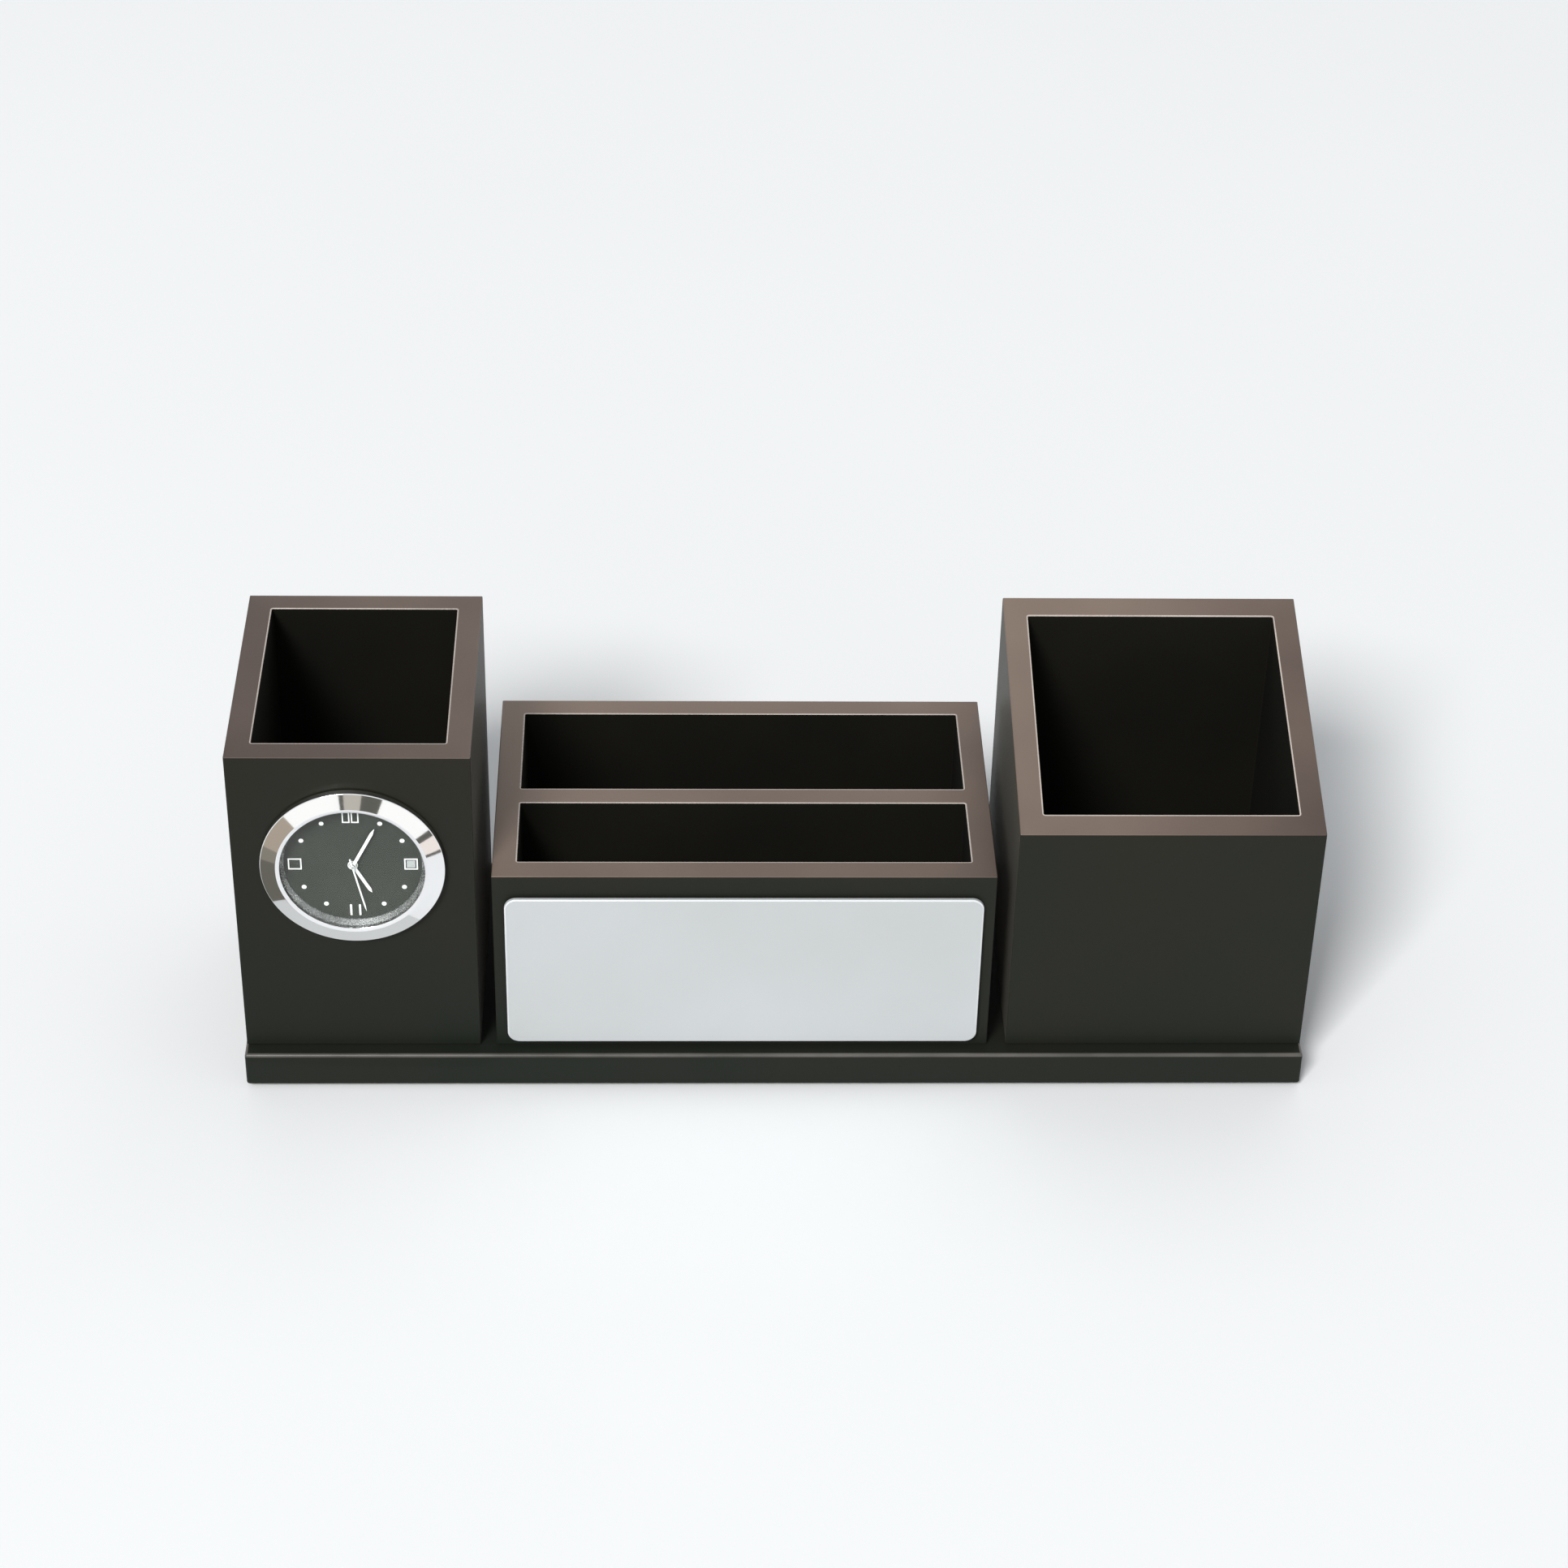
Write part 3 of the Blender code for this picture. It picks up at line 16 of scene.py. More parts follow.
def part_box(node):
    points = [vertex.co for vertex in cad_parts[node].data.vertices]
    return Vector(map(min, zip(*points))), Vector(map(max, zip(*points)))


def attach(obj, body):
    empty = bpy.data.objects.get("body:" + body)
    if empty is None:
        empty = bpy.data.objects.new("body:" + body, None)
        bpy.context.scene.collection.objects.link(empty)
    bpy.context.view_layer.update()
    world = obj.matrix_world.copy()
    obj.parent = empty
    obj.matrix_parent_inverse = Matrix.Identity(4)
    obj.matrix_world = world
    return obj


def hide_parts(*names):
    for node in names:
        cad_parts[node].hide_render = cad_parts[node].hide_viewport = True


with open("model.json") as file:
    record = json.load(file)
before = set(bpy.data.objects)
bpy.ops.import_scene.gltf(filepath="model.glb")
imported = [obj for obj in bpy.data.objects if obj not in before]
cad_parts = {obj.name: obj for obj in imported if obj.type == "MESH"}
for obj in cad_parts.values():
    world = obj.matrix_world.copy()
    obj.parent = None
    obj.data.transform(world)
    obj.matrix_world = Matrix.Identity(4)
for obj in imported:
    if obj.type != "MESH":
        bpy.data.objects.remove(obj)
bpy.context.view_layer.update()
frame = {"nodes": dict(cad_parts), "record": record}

# Colours
# The lacquer's first colour is its painted shade low on the boxes, the second its tone higher up
LACQUER = (0.0130, 0.0160, 0.0119), (0.0176, 0.0168, 0.0120)
# A painted highlight along the base's top edge
LACQUER_HIGHLIGHT = (0.038, 0.035, 0.029), (0.098, 0.090, 0.078)
LINING = (0.0052, 0.0049, 0.0034), (0.0082, 0.0077, 0.0054)
# The taupe's paler colour carries the painted sheen on the edging
TAUPE = (0.058, 0.0355, 0.0275), (0.214, 0.157, 0.1225)
# A painted highlight along the edges of the wells
TAUPE_HIGHLIGHT = (0.42, 0.36, 0.32), (0.56, 0.49, 0.44)
PLATE = (0.51, 0.53, 0.53), (0.565, 0.585, 0.595)
# A painted highlight on the name plate's bevel
PLATE_HIGHLIGHT = (0.80, 0.82, 0.83), (0.86, 0.88, 0.89)
CHROME = (0.86, 0.86, 0.87), (0.90, 0.90, 0.91)
DIAL = (0.0180, 0.0222, 0.0160), (0.0260, 0.0310, 0.0230)
REFLECTOR = (0.24, 0.25, 0.24), (0.36, 0.37, 0.36)
WHITE = (0.80, 0.82, 0.80), (0.86, 0.87, 0.85)
GREY = (0.30, 0.32, 0.31), (0.36, 0.38, 0.37)
BRASS = (0.66, 0.46, 0.19), (0.80, 0.60, 0.28)
STEEL = (0.50, 0.50, 0.51), (0.60, 0.60, 0.61)
SILVER = (0.72, 0.73, 0.74), (0.82, 0.83, 0.84)
COPPER = (0.20, 0.06, 0.03), (0.72, 0.30, 0.14)
PLASTIC = (0.010, 0.010, 0.009), (0.016, 0.016, 0.014)
BOARD = (0.012, 0.12, 0.05), (0.03, 0.20, 0.08)
GLASS = (0.97, 0.98, 0.98), (0.99, 1.0, 1.0)
FLOOR = (0.91, 0.92, 0.92), (0.93, 0.94, 0.94)

# Patterns: how fine they are, and where the lacquer's painted shade and the edging's painted
# sheen start and end
SUNBURST_RAYS = 60.0
WINDING_TURNS = 1600.0
LATHE_MARKS = 900.0
TRACK_CELLS = 500.0
BRUSHED = 0.02, 1, 1
# Heights over which the lacquer's painted shade lifts to its upper tone
PAINTED_SHADE_FROM, PAINTED_SHADE_TO = 0.01, 0.07
PAINTED_SHEEN_REACH = 0.11
PAINTED_SHEEN_DEPTH = 0.033
PAINTED_SHEEN_TO_BACK = 0.13
PAINTED_SHEEN_UNEVEN = -0.12, 0.16
# Share of the organiser's width, and how pale the painted sheen makes the edging there; paler
# still at the middle box's left edge, where painted light lifts the left box's shadow
PAINTED_SHEEN_LEVELS = (
    (0.00, 0.15),
    (0.22, 0.31),
    (0.24, 0.95),
    (0.30, 0.72),
    (0.64, 0.61),
    (0.70, 0.38),
    (0.72, 0.77),
    (0.94, 0.34),
    (1.00, 0.20),
)

# Mesh code
MERGE = 1e-7
SHARP_ANGLE = radians(32)
MITRE_LIMIT = 0.3
CLEARANCE = 0.0001
OVERRUN = 0.002

# Edges
SHELL_CORNER = 0.0002
WELL_CORNER = 0.0003
RIM_EDGE = 0.00015
WELL_EDGE = 0.00012
# Width of the painted highlight inside each well's edge
WELL_HIGHLIGHT = 0.00018
CORNER_STEPS = 4
BASE_EDGE = 0.0006
PLATE_CORNER = 0.0025
PLATE_BEVEL = 0.0003
SCREW_HEAD_DEPTH = 0.0016
SCREW_HOLE_DEPTH = 0.02
CLOCK_HOLE_DEPTH = 0.0065

# Clock
ROUND = 128
SMALL_ROUND = 32
# The bezel from its opening outwards, and from its front backwards
BEZEL_OPENING = 0.0145
BEZEL_FLANK = 0.0014
BEZEL_CREST = 0.0007
BEZEL_LIP = 0.0004
BEZEL_STEP = 0.0008
BEZEL_RADII = 0.0001, 0.0002, 0.00015, 0.0001, 0, 0, 0
CRYSTAL_RADII = 0, 0.0001, 0.0002, 0
# What lies behind the bezel
RING_FOOT = 0.0138
RING_STEP = 0.0003
CUP_WALL = 0.0008
CUP_RADII = 0.0001, 0.0002, 0.0001, 0
GRIP_RIBS = 5
GRIP_RIB_DEPTH = 0.0001
GRIP_SEAT = 0.00005
DIAL_THICKNESS = 0.0004
DIAL_BORE = 0.00092
HAND_BEVEL = 0.00006
# The hour marks
MARKER_HEIGHT = 0.00006
MARKER_RING = 0.0116
DOT_RADIUS = 0.00048
BAR_WIDTH = 0.0004
SQUARE = 0.0027
PAIR_WIDTH = 0.0015
PAIR_SPREAD = 0.0009
LINE = 0.00025
# Length, width, bore and tail
HANDS = {
    "hour": (0.0077, 0.00068, 0.000868, 0.0),
    "minute": (0.0104, 0.00062, 0.000568, 0.0),
    "second": (0.0112, 0.00032, 0.000268, 0.0021),
}
HUB_WALL = 0.00015
SHOULDER_SHARE = 0.88
TIME = 5, 4, 28

# Studio
CAMERA_PLACE = Vector((-0.0222, -0.6180, 0.5054))
CAMERA_PITCH, CAMERA_YAW, CAMERA_ROLL = radians(36.09), radians(-2.20), radians(1.39)
CAMERA_LENS, CAMERA_SENSOR = 84.63, 36
FLOOR_REACH = 6
SKY, SKY_LIGHT = (0.93, 0.96, 1.0, 1), 0.36
# The floor passes into the backdrop between these distances from the middle
BACKDROP = 0.87, 0.89, 0.90, 1
FADE_FROM, FADE_TO = 0.9, 2.4
LAMP_TARGET = Vector((0, 0, 0.03))
# Place, width and power
LAMPS = {
    "key": ((-2.54, -5.42, 5.37), 2.2, 572.0),
    "overhead": ((0.27, 1.40, 2.65), 1.8, 8.0),
}

# Cards round the clock. The bezel's slope reflects them from its middle.
BEZEL_TILT = radians(18.4)
SLOPE_INSET = 0.0016
SLOPE_RISE = 0.002
CARD_WIDTH = 0.03
CARD_REACH = 0.12
CARD_STEPS_AN_HOUR = 10
CARD_FALL_SHARE = 0.8
CARD_LEAST_FALL = 0.01
HOUR_STEP = 0.05
WHITE_CARD = 1.1, 1.1, 1.08
GREY_CARD = 0.54, 0.51, 0.45
DARK_CARD = 0.12, 0.12, 0.105
ROSE_CARD = 0.96, 0.88, 0.83
PALE_CARD = 0.66, 0.68, 0.68
BROWN_CARD = 0.14, 0.135, 0.115
TAN_CARD = 0.25, 0.23, 0.19
BEIGE_CARD = 0.43, 0.37, 0.30
# First and last hour, and tone
CARDS = (
    (-1.5, -0.20, WHITE_CARD),
    (-0.20, -0.1, DARK_CARD),
    (-0.1, 0.28, GREY_CARD),
    (0.28, 0.72, DARK_CARD),
    (0.72, 1.93, WHITE_CARD),
    (1.93, 2.1, DARK_CARD),
    (2.1, 2.48, ROSE_CARD),
    (2.48, 2.56, DARK_CARD),
    (4.5, 8.1, PALE_CARD),
    (8.1, 9.25, BROWN_CARD),
    (9.25, 9.6, TAN_CARD),
    (9.6, 10.5, BEIGE_CARD),
)


# Materials


def add_node(tree, kind, inputs=(), **settings):
    """A node with its inputs linked to sockets or set to values."""
    node = tree.nodes.new(kind)
    for name, value in settings.items():
        setattr(node, name, value)
    for name, value in dict(inputs).items():
        if isinstance(value, bpy.types.NodeSocket):
            tree.links.new(value, node.inputs[name])
        else:
            node.inputs[name].default_value = value
    return node


def noise(tree, place, scale, detail=3.0, stretch=(1, 1, 1)):
    """Noise with a feature size of one over the scale, in metres."""
    mapping = add_node(tree, "ShaderNodeMapping", {"Vector": place, "Scale": stretch})
    texture = add_node(
        tree,
        "ShaderNodeTexNoise",
        {"Vector": mapping.outputs["Vector"], "Scale": scale, "Detail": detail},
    )
    return texture.outputs["Fac"]


def spread(tree, value, low, high, start=0.3, end=0.7):
    """A value between start and end, moved to between low and high."""
    inputs = {"Value": value, "From Min": start, "From Max": end, "To Min": low, "To Max": high}
    return add_node(tree, "ShaderNodeMapRange", inputs).outputs["Result"]


def blend_colours(tree, factor, one, other):
    """One colour where the factor is 0, the other where it is 1."""
    mix = add_node(tree, "ShaderNodeMix", data_type="RGBA")
    tree.links.new(factor, mix.inputs["Factor"])
    for name, colour in (("A", one), ("B", other)):
        socket = next(s for s in mix.inputs if s.name == name and s.type == "RGBA")
        socket.default_value = (*colour, 1)
    return next(s for s in mix.outputs if s.type == "RGBA")


def material(
    name,
    colours,
    roughness,
    patches=40,
    grain=4000,
    bump=0.1,
    depth=0.00005,
    stretch=(1, 1, 1),
    pattern=None,
    **shader_values,
):
    """Colour drifts in patches, roughness and bump follow a finer grain.

    A pattern takes the tree and the place, and gives the factor between the two colours."""
    made = bpy.data.materials.new(name)
    made.use_nodes = True
    tree = made.node_tree
    shader = tree.nodes["Principled BSDF"]
    for socket, value in shader_values.items():
        shader.inputs[socket.replace("_", " ")].default_value = value
    place = add_node(tree, "ShaderNodeTexCoord").outputs["Object"]
    drift = spread(tree, noise(tree, place, patches), 0, 1)
    factor = pattern(tree, place, drift) if pattern else drift
    tree.links.new(blend_colours(tree, factor, *colours), shader.inputs["Base Color"])
    fine = noise(tree, place, grain, detail=6, stretch=stretch)
    tree.links.new(spread(tree, fine, *roughness), shader.inputs["Roughness"])
    relief = add_node(
        tree, "ShaderNodeBump", {"Height": fine, "Strength": bump, "Distance": depth}
    )
    tree.links.new(relief.outputs["Normal"], shader.inputs["Normal"])
    return made


def sunburst(tree, place, drift):
    """Fine rays from the middle."""
    parts = add_node(tree, "ShaderNodeSeparateXYZ", {"Vector": place}).outputs
    angle = add_node(tree, "ShaderNodeMath", {0: parts["Y"], 1: parts["X"]}, operation="ARCTAN2")
    rays = add_node(
        tree,
        "ShaderNodeTexNoise",
        {"W": angle.outputs["Value"], "Scale": SUNBURST_RAYS, "Detail": 4.0},
        noise_dimensions="1D",
    )
    both = add_node(
        tree, "ShaderNodeMath", {0: rays.outputs["Fac"], 1: drift}, operation="MULTIPLY"
    )
    return spread(tree, both.outputs["Value"], 0, 1, 0.1, 0.6)


def winding(tree, place, drift):
    """Turns of fine wire along X."""
    wave = add_node(
        tree,
        "ShaderNodeTexWave",
        {
            "Vector": place,
            "Scale": WINDING_TURNS,
            "Distortion": 0.4,
            "Detail Scale": 300.0,
        },
        bands_direction="X",
    )
    return wave.outputs["Fac"]


def painted_sheen(tree, place, drift):
    """Painted sheen: paler towards the back and, box by box, from left to right, and paler still
    where the left box's shadow falls on the middle box.
    """
    parts = add_node(tree, "ShaderNodeSeparateXYZ", {"Vector": place}).outputs
    along = spread(tree, parts["X"], 0, 1, -PAINTED_SHEEN_REACH, PAINTED_SHEEN_REACH)
    ramp = add_node(tree, "ShaderNodeValToRGB", {"Fac": along})
    ramp.color_ramp.elements.remove(ramp.color_ramp.elements[1])
    ramp.color_ramp.elements[0].position = 0
    for position, level in PAINTED_SHEEN_LEVELS:
        ramp.color_ramp.elements.new(position).color = (level, level, level, 1)
    back = spread(
        tree, parts["Y"], -PAINTED_SHEEN_TO_BACK, PAINTED_SHEEN_TO_BACK, -PAINTED_SHEEN_DEPTH, PAINTED_SHEEN_DEPTH
    )
    uneven = spread(tree, drift, *PAINTED_SHEEN_UNEVEN, 0, 1)
    total = ramp.outputs["Color"]
    for value in (back, uneven):
        total = add_node(tree, "ShaderNodeMath", {0: total, 1: value}, operation="ADD").outputs[0]
    return spread(tree, total, 0, 1, 0, 1)


def painted_foot_shade(tree, place, drift):
    """Painted shade: darker and greenish low down, lighter and warmer towards the top, in
    patches.
    """
    parts = add_node(tree, "ShaderNodeSeparateXYZ", {"Vector": place}).outputs
    height = spread(tree, parts["Z"], 0, 1, PAINTED_SHADE_FROM, PAINTED_SHADE_TO)
    both = add_node(tree, "ShaderNodeMath", {0: height, 1: drift}, operation="ADD")
    return spread(tree, both.outputs["Value"], 0, 1, 0.3, 1.7)


def turned_rings(tree, place, drift):
    """Fine concentric marks from a lathe."""
    wave = add_node(
        tree,
        "ShaderNodeTexWave",
        {
            "Vector": place,
            "Scale": LATHE_MARKS,
            "Distortion": 2.0,
            "Detail Scale": 40.0,
        },
        wave_type="RINGS",
        rings_direction="Z",
    )
    both = add_node(
        tree, "ShaderNodeMath", {0: wave.outputs["Fac"], 1: drift}, operation="MULTIPLY"
    )
    return both.outputs["Value"]


def tracks(tree, place, drift):
    """Copper tracks under the solder mask."""
    cells = add_node(tree, "ShaderNodeTexBrick", {"Vector": place, "Scale": TRACK_CELLS})
    return cells.outputs["Fac"]


def make_materials():
    """Every finish by name: its two colours, its roughness and what else sets it apart."""
    looks = {
        "lacquer": (
            LACQUER,
            (0.42, 0.55),
            {
                "patches": 24,
                # painted shade, darker low on the boxes
                "pattern": painted_foot_shade,
                "bump": 0.06,
                "Specular_IOR_Level": 0.12,
                "Sheen_Weight": 0.06,
                "Sheen_Roughness": 0.3,
                "Sheen_Tint": (1.0, 0.93, 0.80, 1),
            },
        ),
        # painted highlight on the base's top edge
        "lacquer_highlight": (LACQUER_HIGHLIGHT, (0.28, 0.38), {"patches": 60}),
        "lining": (
            LINING,
            (0.70, 0.85),
            {"patches": 30, "bump": 0.3, "grain": 2500, "Specular_IOR_Level": 0.12},
        ),
        "taupe": (
            TAUPE,
            (0.36, 0.48),
            # painted sheen, paler by box and towards the back
            {"patches": 26, "pattern": painted_sheen, "bump": 0.06, "Metallic": 0.25},
        ),
        # painted highlight round the wells
        "taupe_highlight": (TAUPE_HIGHLIGHT, (0.22, 0.32), {"patches": 70, "bump": 0.02, "Metallic": 0.3}),
        "felt": (LINING, (0.9, 1.0), {"grain": 3000, "bump": 1.0, "depth": 0.0003}),
        "tape": (WHITE, (0.6, 0.8), {"grain": 2500, "bump": 0.5}),
        "plate": (
            PLATE,
            (0.30, 0.38),
            {"patches": 14, "stretch": BRUSHED, "bump": 0.05, "Metallic": 0.2},
        ),
        # painted highlight on the plate's bevel
        "plate_highlight": (PLATE_HIGHLIGHT, (0.14, 0.22), {"Metallic": 0.35}),
        "chrome": (CHROME, (0.04, 0.07), {"bump": 0.0, "Metallic": 1.0}),
        "dial": (
            DIAL,
            (0.42, 0.55),
            {"pattern": sunburst, "bump": 0.015, "Specular_IOR_Level": 0.2},
        ),
        "white": (WHITE, (0.3, 0.4), {"patches": 400}),
        "grey": (GREY, (0.4, 0.5), {"patches": 400}),
        "rubber": (LINING, (0.75, 0.9), {"bump": 0.4}),
        "brass": (BRASS, (0.22, 0.34), {"patches": 300, "Metallic": 1.0, "grain": 9000}),
        "steel": (
            STEEL,
            (0.22, 0.36),
            {"patches": 300, "pattern": turned_rings, "Metallic": 1.0},
        ),
        "silver": (SILVER, (0.18, 0.28), {"patches": 300, "Metallic": 1.0}),
        "reflector": (REFLECTOR, (0.20, 0.32), {"patches": 300, "bump": 0.03, "Metallic": 0.8}),
        "plastic": (PLASTIC, (0.42, 0.6), {"bump": 0.3}),
        "copper": (COPPER, (0.25, 0.4), {"pattern": winding, "Metallic": 1.0}),
        "board": (BOARD, (0.3, 0.45), {"pattern": tracks}),
    }
    made = {}
    for name, (colours, roughness, more) in looks.items():
        made[name] = material(name, colours, roughness, **more)
    made["crystal"] = crystal_glass()
    return made


def crystal_glass():
    """Clear glass that lets the lamps' light through to the dial."""
    glass = material(
        "crystal", GLASS, (0.0, 0.01), bump=0.0, Transmission_Weight=1.0, IOR=1.33
    )
    tree = glass.node_tree
    rays = add_node(tree, "ShaderNodeLightPath").outputs
    clear = add_node(tree, "ShaderNodeBsdfTransparent")
    mix = add_node(tree, "ShaderNodeMixShader", {"Fac": rays["Is Shadow Ray"]})
    tree.links.new(tree.nodes["Principled BSDF"].outputs["BSDF"], mix.inputs[1])
    tree.links.new(clear.outputs["BSDF"], mix.inputs[2])
    tree.links.new(mix.outputs["Shader"], tree.nodes["Material Output"].inputs["Surface"])
    return glass


# Shapes


def close_mesh(bm):
    """Joins vertices that coincide and turns every face outwards."""
    bmesh.ops.remove_doubles(bm, verts=bm.verts, dist=MERGE)
    bmesh.ops.recalc_face_normals(bm, faces=bm.faces)


def add_object(name, bm, materials=(), matrix=None):
    mesh = bpy.data.meshes.new(name)
    bm.to_mesh(mesh)
    bm.free()
    for one in materials:
        mesh.materials.append(one)
    made = bpy.data.objects.new(name, mesh)
    bpy.context.scene.collection.objects.link(made)
    if matrix:
        made.matrix_world = matrix
    return made


def finish_piece(name, bm, materials, body, nodes, matrix=None):
    """Turns mesh code's result into a piece that rides on a body and stands for CAD nodes."""
    close_mesh(bm)
    for face in bm.faces:
        face.smooth = True
    for edge in bm.edges:
        if len(edge.link_faces) == 2 and edge.calc_face_angle() > SHARP_ANGLE:
            edge.smooth = False
    piece = add_object(name, bm, materials, matrix)
    normals = piece.modifiers.new("even_shading", "WEIGHTED_NORMAL")
    normals.keep_sharp = True
    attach(piece, body)
    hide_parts(*nodes)
    return piece


def circle(radius, centre=(0, 0), sides=ROUND):
    angles = [2 * pi * side / sides for side in range(sides)]
    return [(centre[0] + radius * cos(a), centre[1] + radius * sin(a)) for a in angles]


def rectangle(width, height, centre=(0, 0)):
    corners = ((-1, -1), (1, -1), (1, 1), (-1, 1))
    return [(centre[0] + x * width / 2, centre[1] + y * height / 2) for x, y in corners]


def rounded_rectangle(width, height, radius, centre=(0, 0), steps=10):
    points = []
    for quarter, (x, y) in enumerate(((1, 1), (-1, 1), (-1, -1), (1, -1))):
        middle = centre[0] + x * (width / 2 - radius), centre[1] + y * (height / 2 - radius)
        for step in range(steps + 1):
            angle = pi / 2 * (quarter + step / steps)
            points.append((middle[0] + radius * cos(angle), middle[1] + radius * sin(angle)))
    return points


def inset(points, distance):
    """Moves every edge of a closed outline to its left by a distance."""
    moved = []
    count = len(points)
    for index in range(count):
        before, point, after = (Vector(points[(index + step) % count]) for step in (-1, 0, 1))
        one, other = (point - before).normalized(), (after - point).normalized()
        normal = Vector((-one.y, one.x))
        bisector = (normal + Vector((-other.y, other.x))).normalized()
        moved.append(point + bisector * distance / max(bisector.dot(normal), MITRE_LIMIT))
    return moved


def rounded_end(top, radius, steps=3):
    """The upper end of a wall's profile, as (distance in, level) pairs."""
    arc = [pi / 2 * step / steps for step in range(1, steps + 1)] if radius else []
    start = [(0, top - radius)]
    return start + [(radius * (1 - cos(a)), top - radius * (1 - sin(a))) for a in arc]


def add_walls(bm, loop, profile, indices):
    """Runs a profile of (distance in, level) pairs round an outline. Returns its vertex rows."""
    rows = [
        [bm.verts.new((x, y, level)) for x, y in inset(loop, distance)]
        for distance, level in profile
    ]
    for index, low, high in zip(indices, rows, rows[1:]):
        for i in range(len(loop)):
            j = (i + 1) % len(loop)
            bm.faces.new((low[i], low[j], high[j], high[i])).material_index = index
    return rows


def add_cap(bm, rows, index=0):
    """Fills the area between an outline's row and its holes' rows, with a crisp border."""
    verts = [vert for row in rows for vert in row]
    for triangle in tessellate_polygon([[vert.co for vert in row] for row in rows]):
        bm.faces.new([verts[i] for i in triangle]).material_index = index
    for row in rows:
        for one, other in zip(row, row[1:] + row[:1]):
            edge = bm.edges.get((one, other))
            if edge:
                edge.smooth = False


def add_plate(bm, loops, back, front, bevel, index=0, edge_index=None, steps=3):
    """A flat piece with rounded front edges.

    The outline runs anticlockwise, and its holes clockwise."""
    profile = [(0, back), *rounded_end(front, bevel, steps)]
    edge = index if edge_index is None else edge_index
    indices = [index] + [edge] * (len(profile) - 2)
    stacks = [add_walls(bm, loop, profile, indices) for loop in loops]
    add_cap(bm, [rows[0] for rows in stacks], index)
    add_cap(bm, [rows[-1] for rows in stacks], index)


def rounded_profile(points, radii, steps=4, closed=True):
    """Rounds the corners of a profile, each by its own radius."""
    rounded = []
    count = len(points)
    for index, (point, radius) in enumerate(zip(points, radii)):
        if not radius or not closed and index in (0, count - 1):
            rounded.append(point)
            continue
        here = Vector(point)
        one = (Vector(points[index - 1]) - here).normalized()
        other = (Vector(points[(index + 1) % count]) - here).normalized()
        start, end = here + one * radius, here + other * radius
        for step in range(steps + 1):
            t = step / steps
            curve = start * (1 - t) ** 2 + here * 2 * t * (1 - t) + end * t**2
            rounded.append(tuple(curve))
    return rounded


def add_lathe(bm, points, sides=ROUND, closed=True):
    """Turns a profile of (radius, level) pairs."""
    rows = []
    for radius, level in points:
        if radius == 0:
            rows.append([bm.verts.new((0, 0, level))] * sides)
        else:
            rows.append([bm.verts.new((x, y, level)) for x, y in circle(radius, sides=sides)])
    pairs = list(zip(rows, rows[1:] + rows[:1]))
    if not closed:
        pairs = pairs[:-1]
    for low, high in pairs:
        for i in range(sides):
            j = (i + 1) % sides
            corners = list(dict.fromkeys((low[i], low[j], high[j], high[i])))
            if len(corners) > 2:
                bm.faces.new(corners)


# Boxes


def plan_rectangle(left, right, front, back, radius):
    size, centre = (right - left, back - front), ((left + right) / 2, (front + back) / 2)
    return rounded_rectangle(*size, radius, centre, CORNER_STEPS)


def box_loops(box):
    """A box's outline and its wells, seen from above."""
    front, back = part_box(f"{box}_box_front"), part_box(f"{box}_box_back")
    left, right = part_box(f"{box}_box_left_side"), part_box(f"{box}_box_right_side")
    wells = [(front[1].y, back[0].y)]
    if box == "middle":
        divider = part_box("middle_box_divider")
        wells = [(front[1].y, divider[0].y), (divider[1].y, back[0].y)]
    outline = plan_rectangle(front[0].x, front[1].x, front[0].y, back[1].y, SHELL_CORNER)
    holes = [plan_rectangle(left[1].x, right[0].x, *well, WELL_CORNER)[::-1] for well in wells]
    return [outline, *holes]


def rim_heights(box):
    """The height of the rim's underside by depth, and the rim's thickness."""
    low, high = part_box(f"{box}_box_rim")
    level_low, level_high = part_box("left_box_rim")
    thickness = level_high.z - level_low.z
    slope = (high.z - low.z - thickness) / (high.y - low.y)
    return lambda y: low.z + slope * (y - low.y), thickness


def make_shell(box, looks):
    """The four walls and the divider of a box as one lacquered shell, black inside."""
    under_rim, _ = rim_heights(box)
    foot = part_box(f"{box}_box_front")[0].z
    bm = bmesh.new()
    stacks = []
    for number, loop in enumerate(box_loops(box)):
        stacks.append(add_walls(bm, loop, [(0, 0), (0, 1)], [1 if number else 0]))
    for level in (0, 1):
        add_cap(bm, [rows[level] for rows in stacks])
    for vert in bm.verts:
        vert.co.z = under_rim(vert.co.y) if vert.co.z else foot
    nodes = [f"{box}_box_{side}" for side in ("front", "back", "left_side", "right_side")]
    if box == "middle":
        nodes.append("middle_box_divider")
    materials = [looks["lacquer"], looks["lining"]]
    return finish_piece(
        f"{box}_box_shell", bm, materials, "organiser", nodes
    )


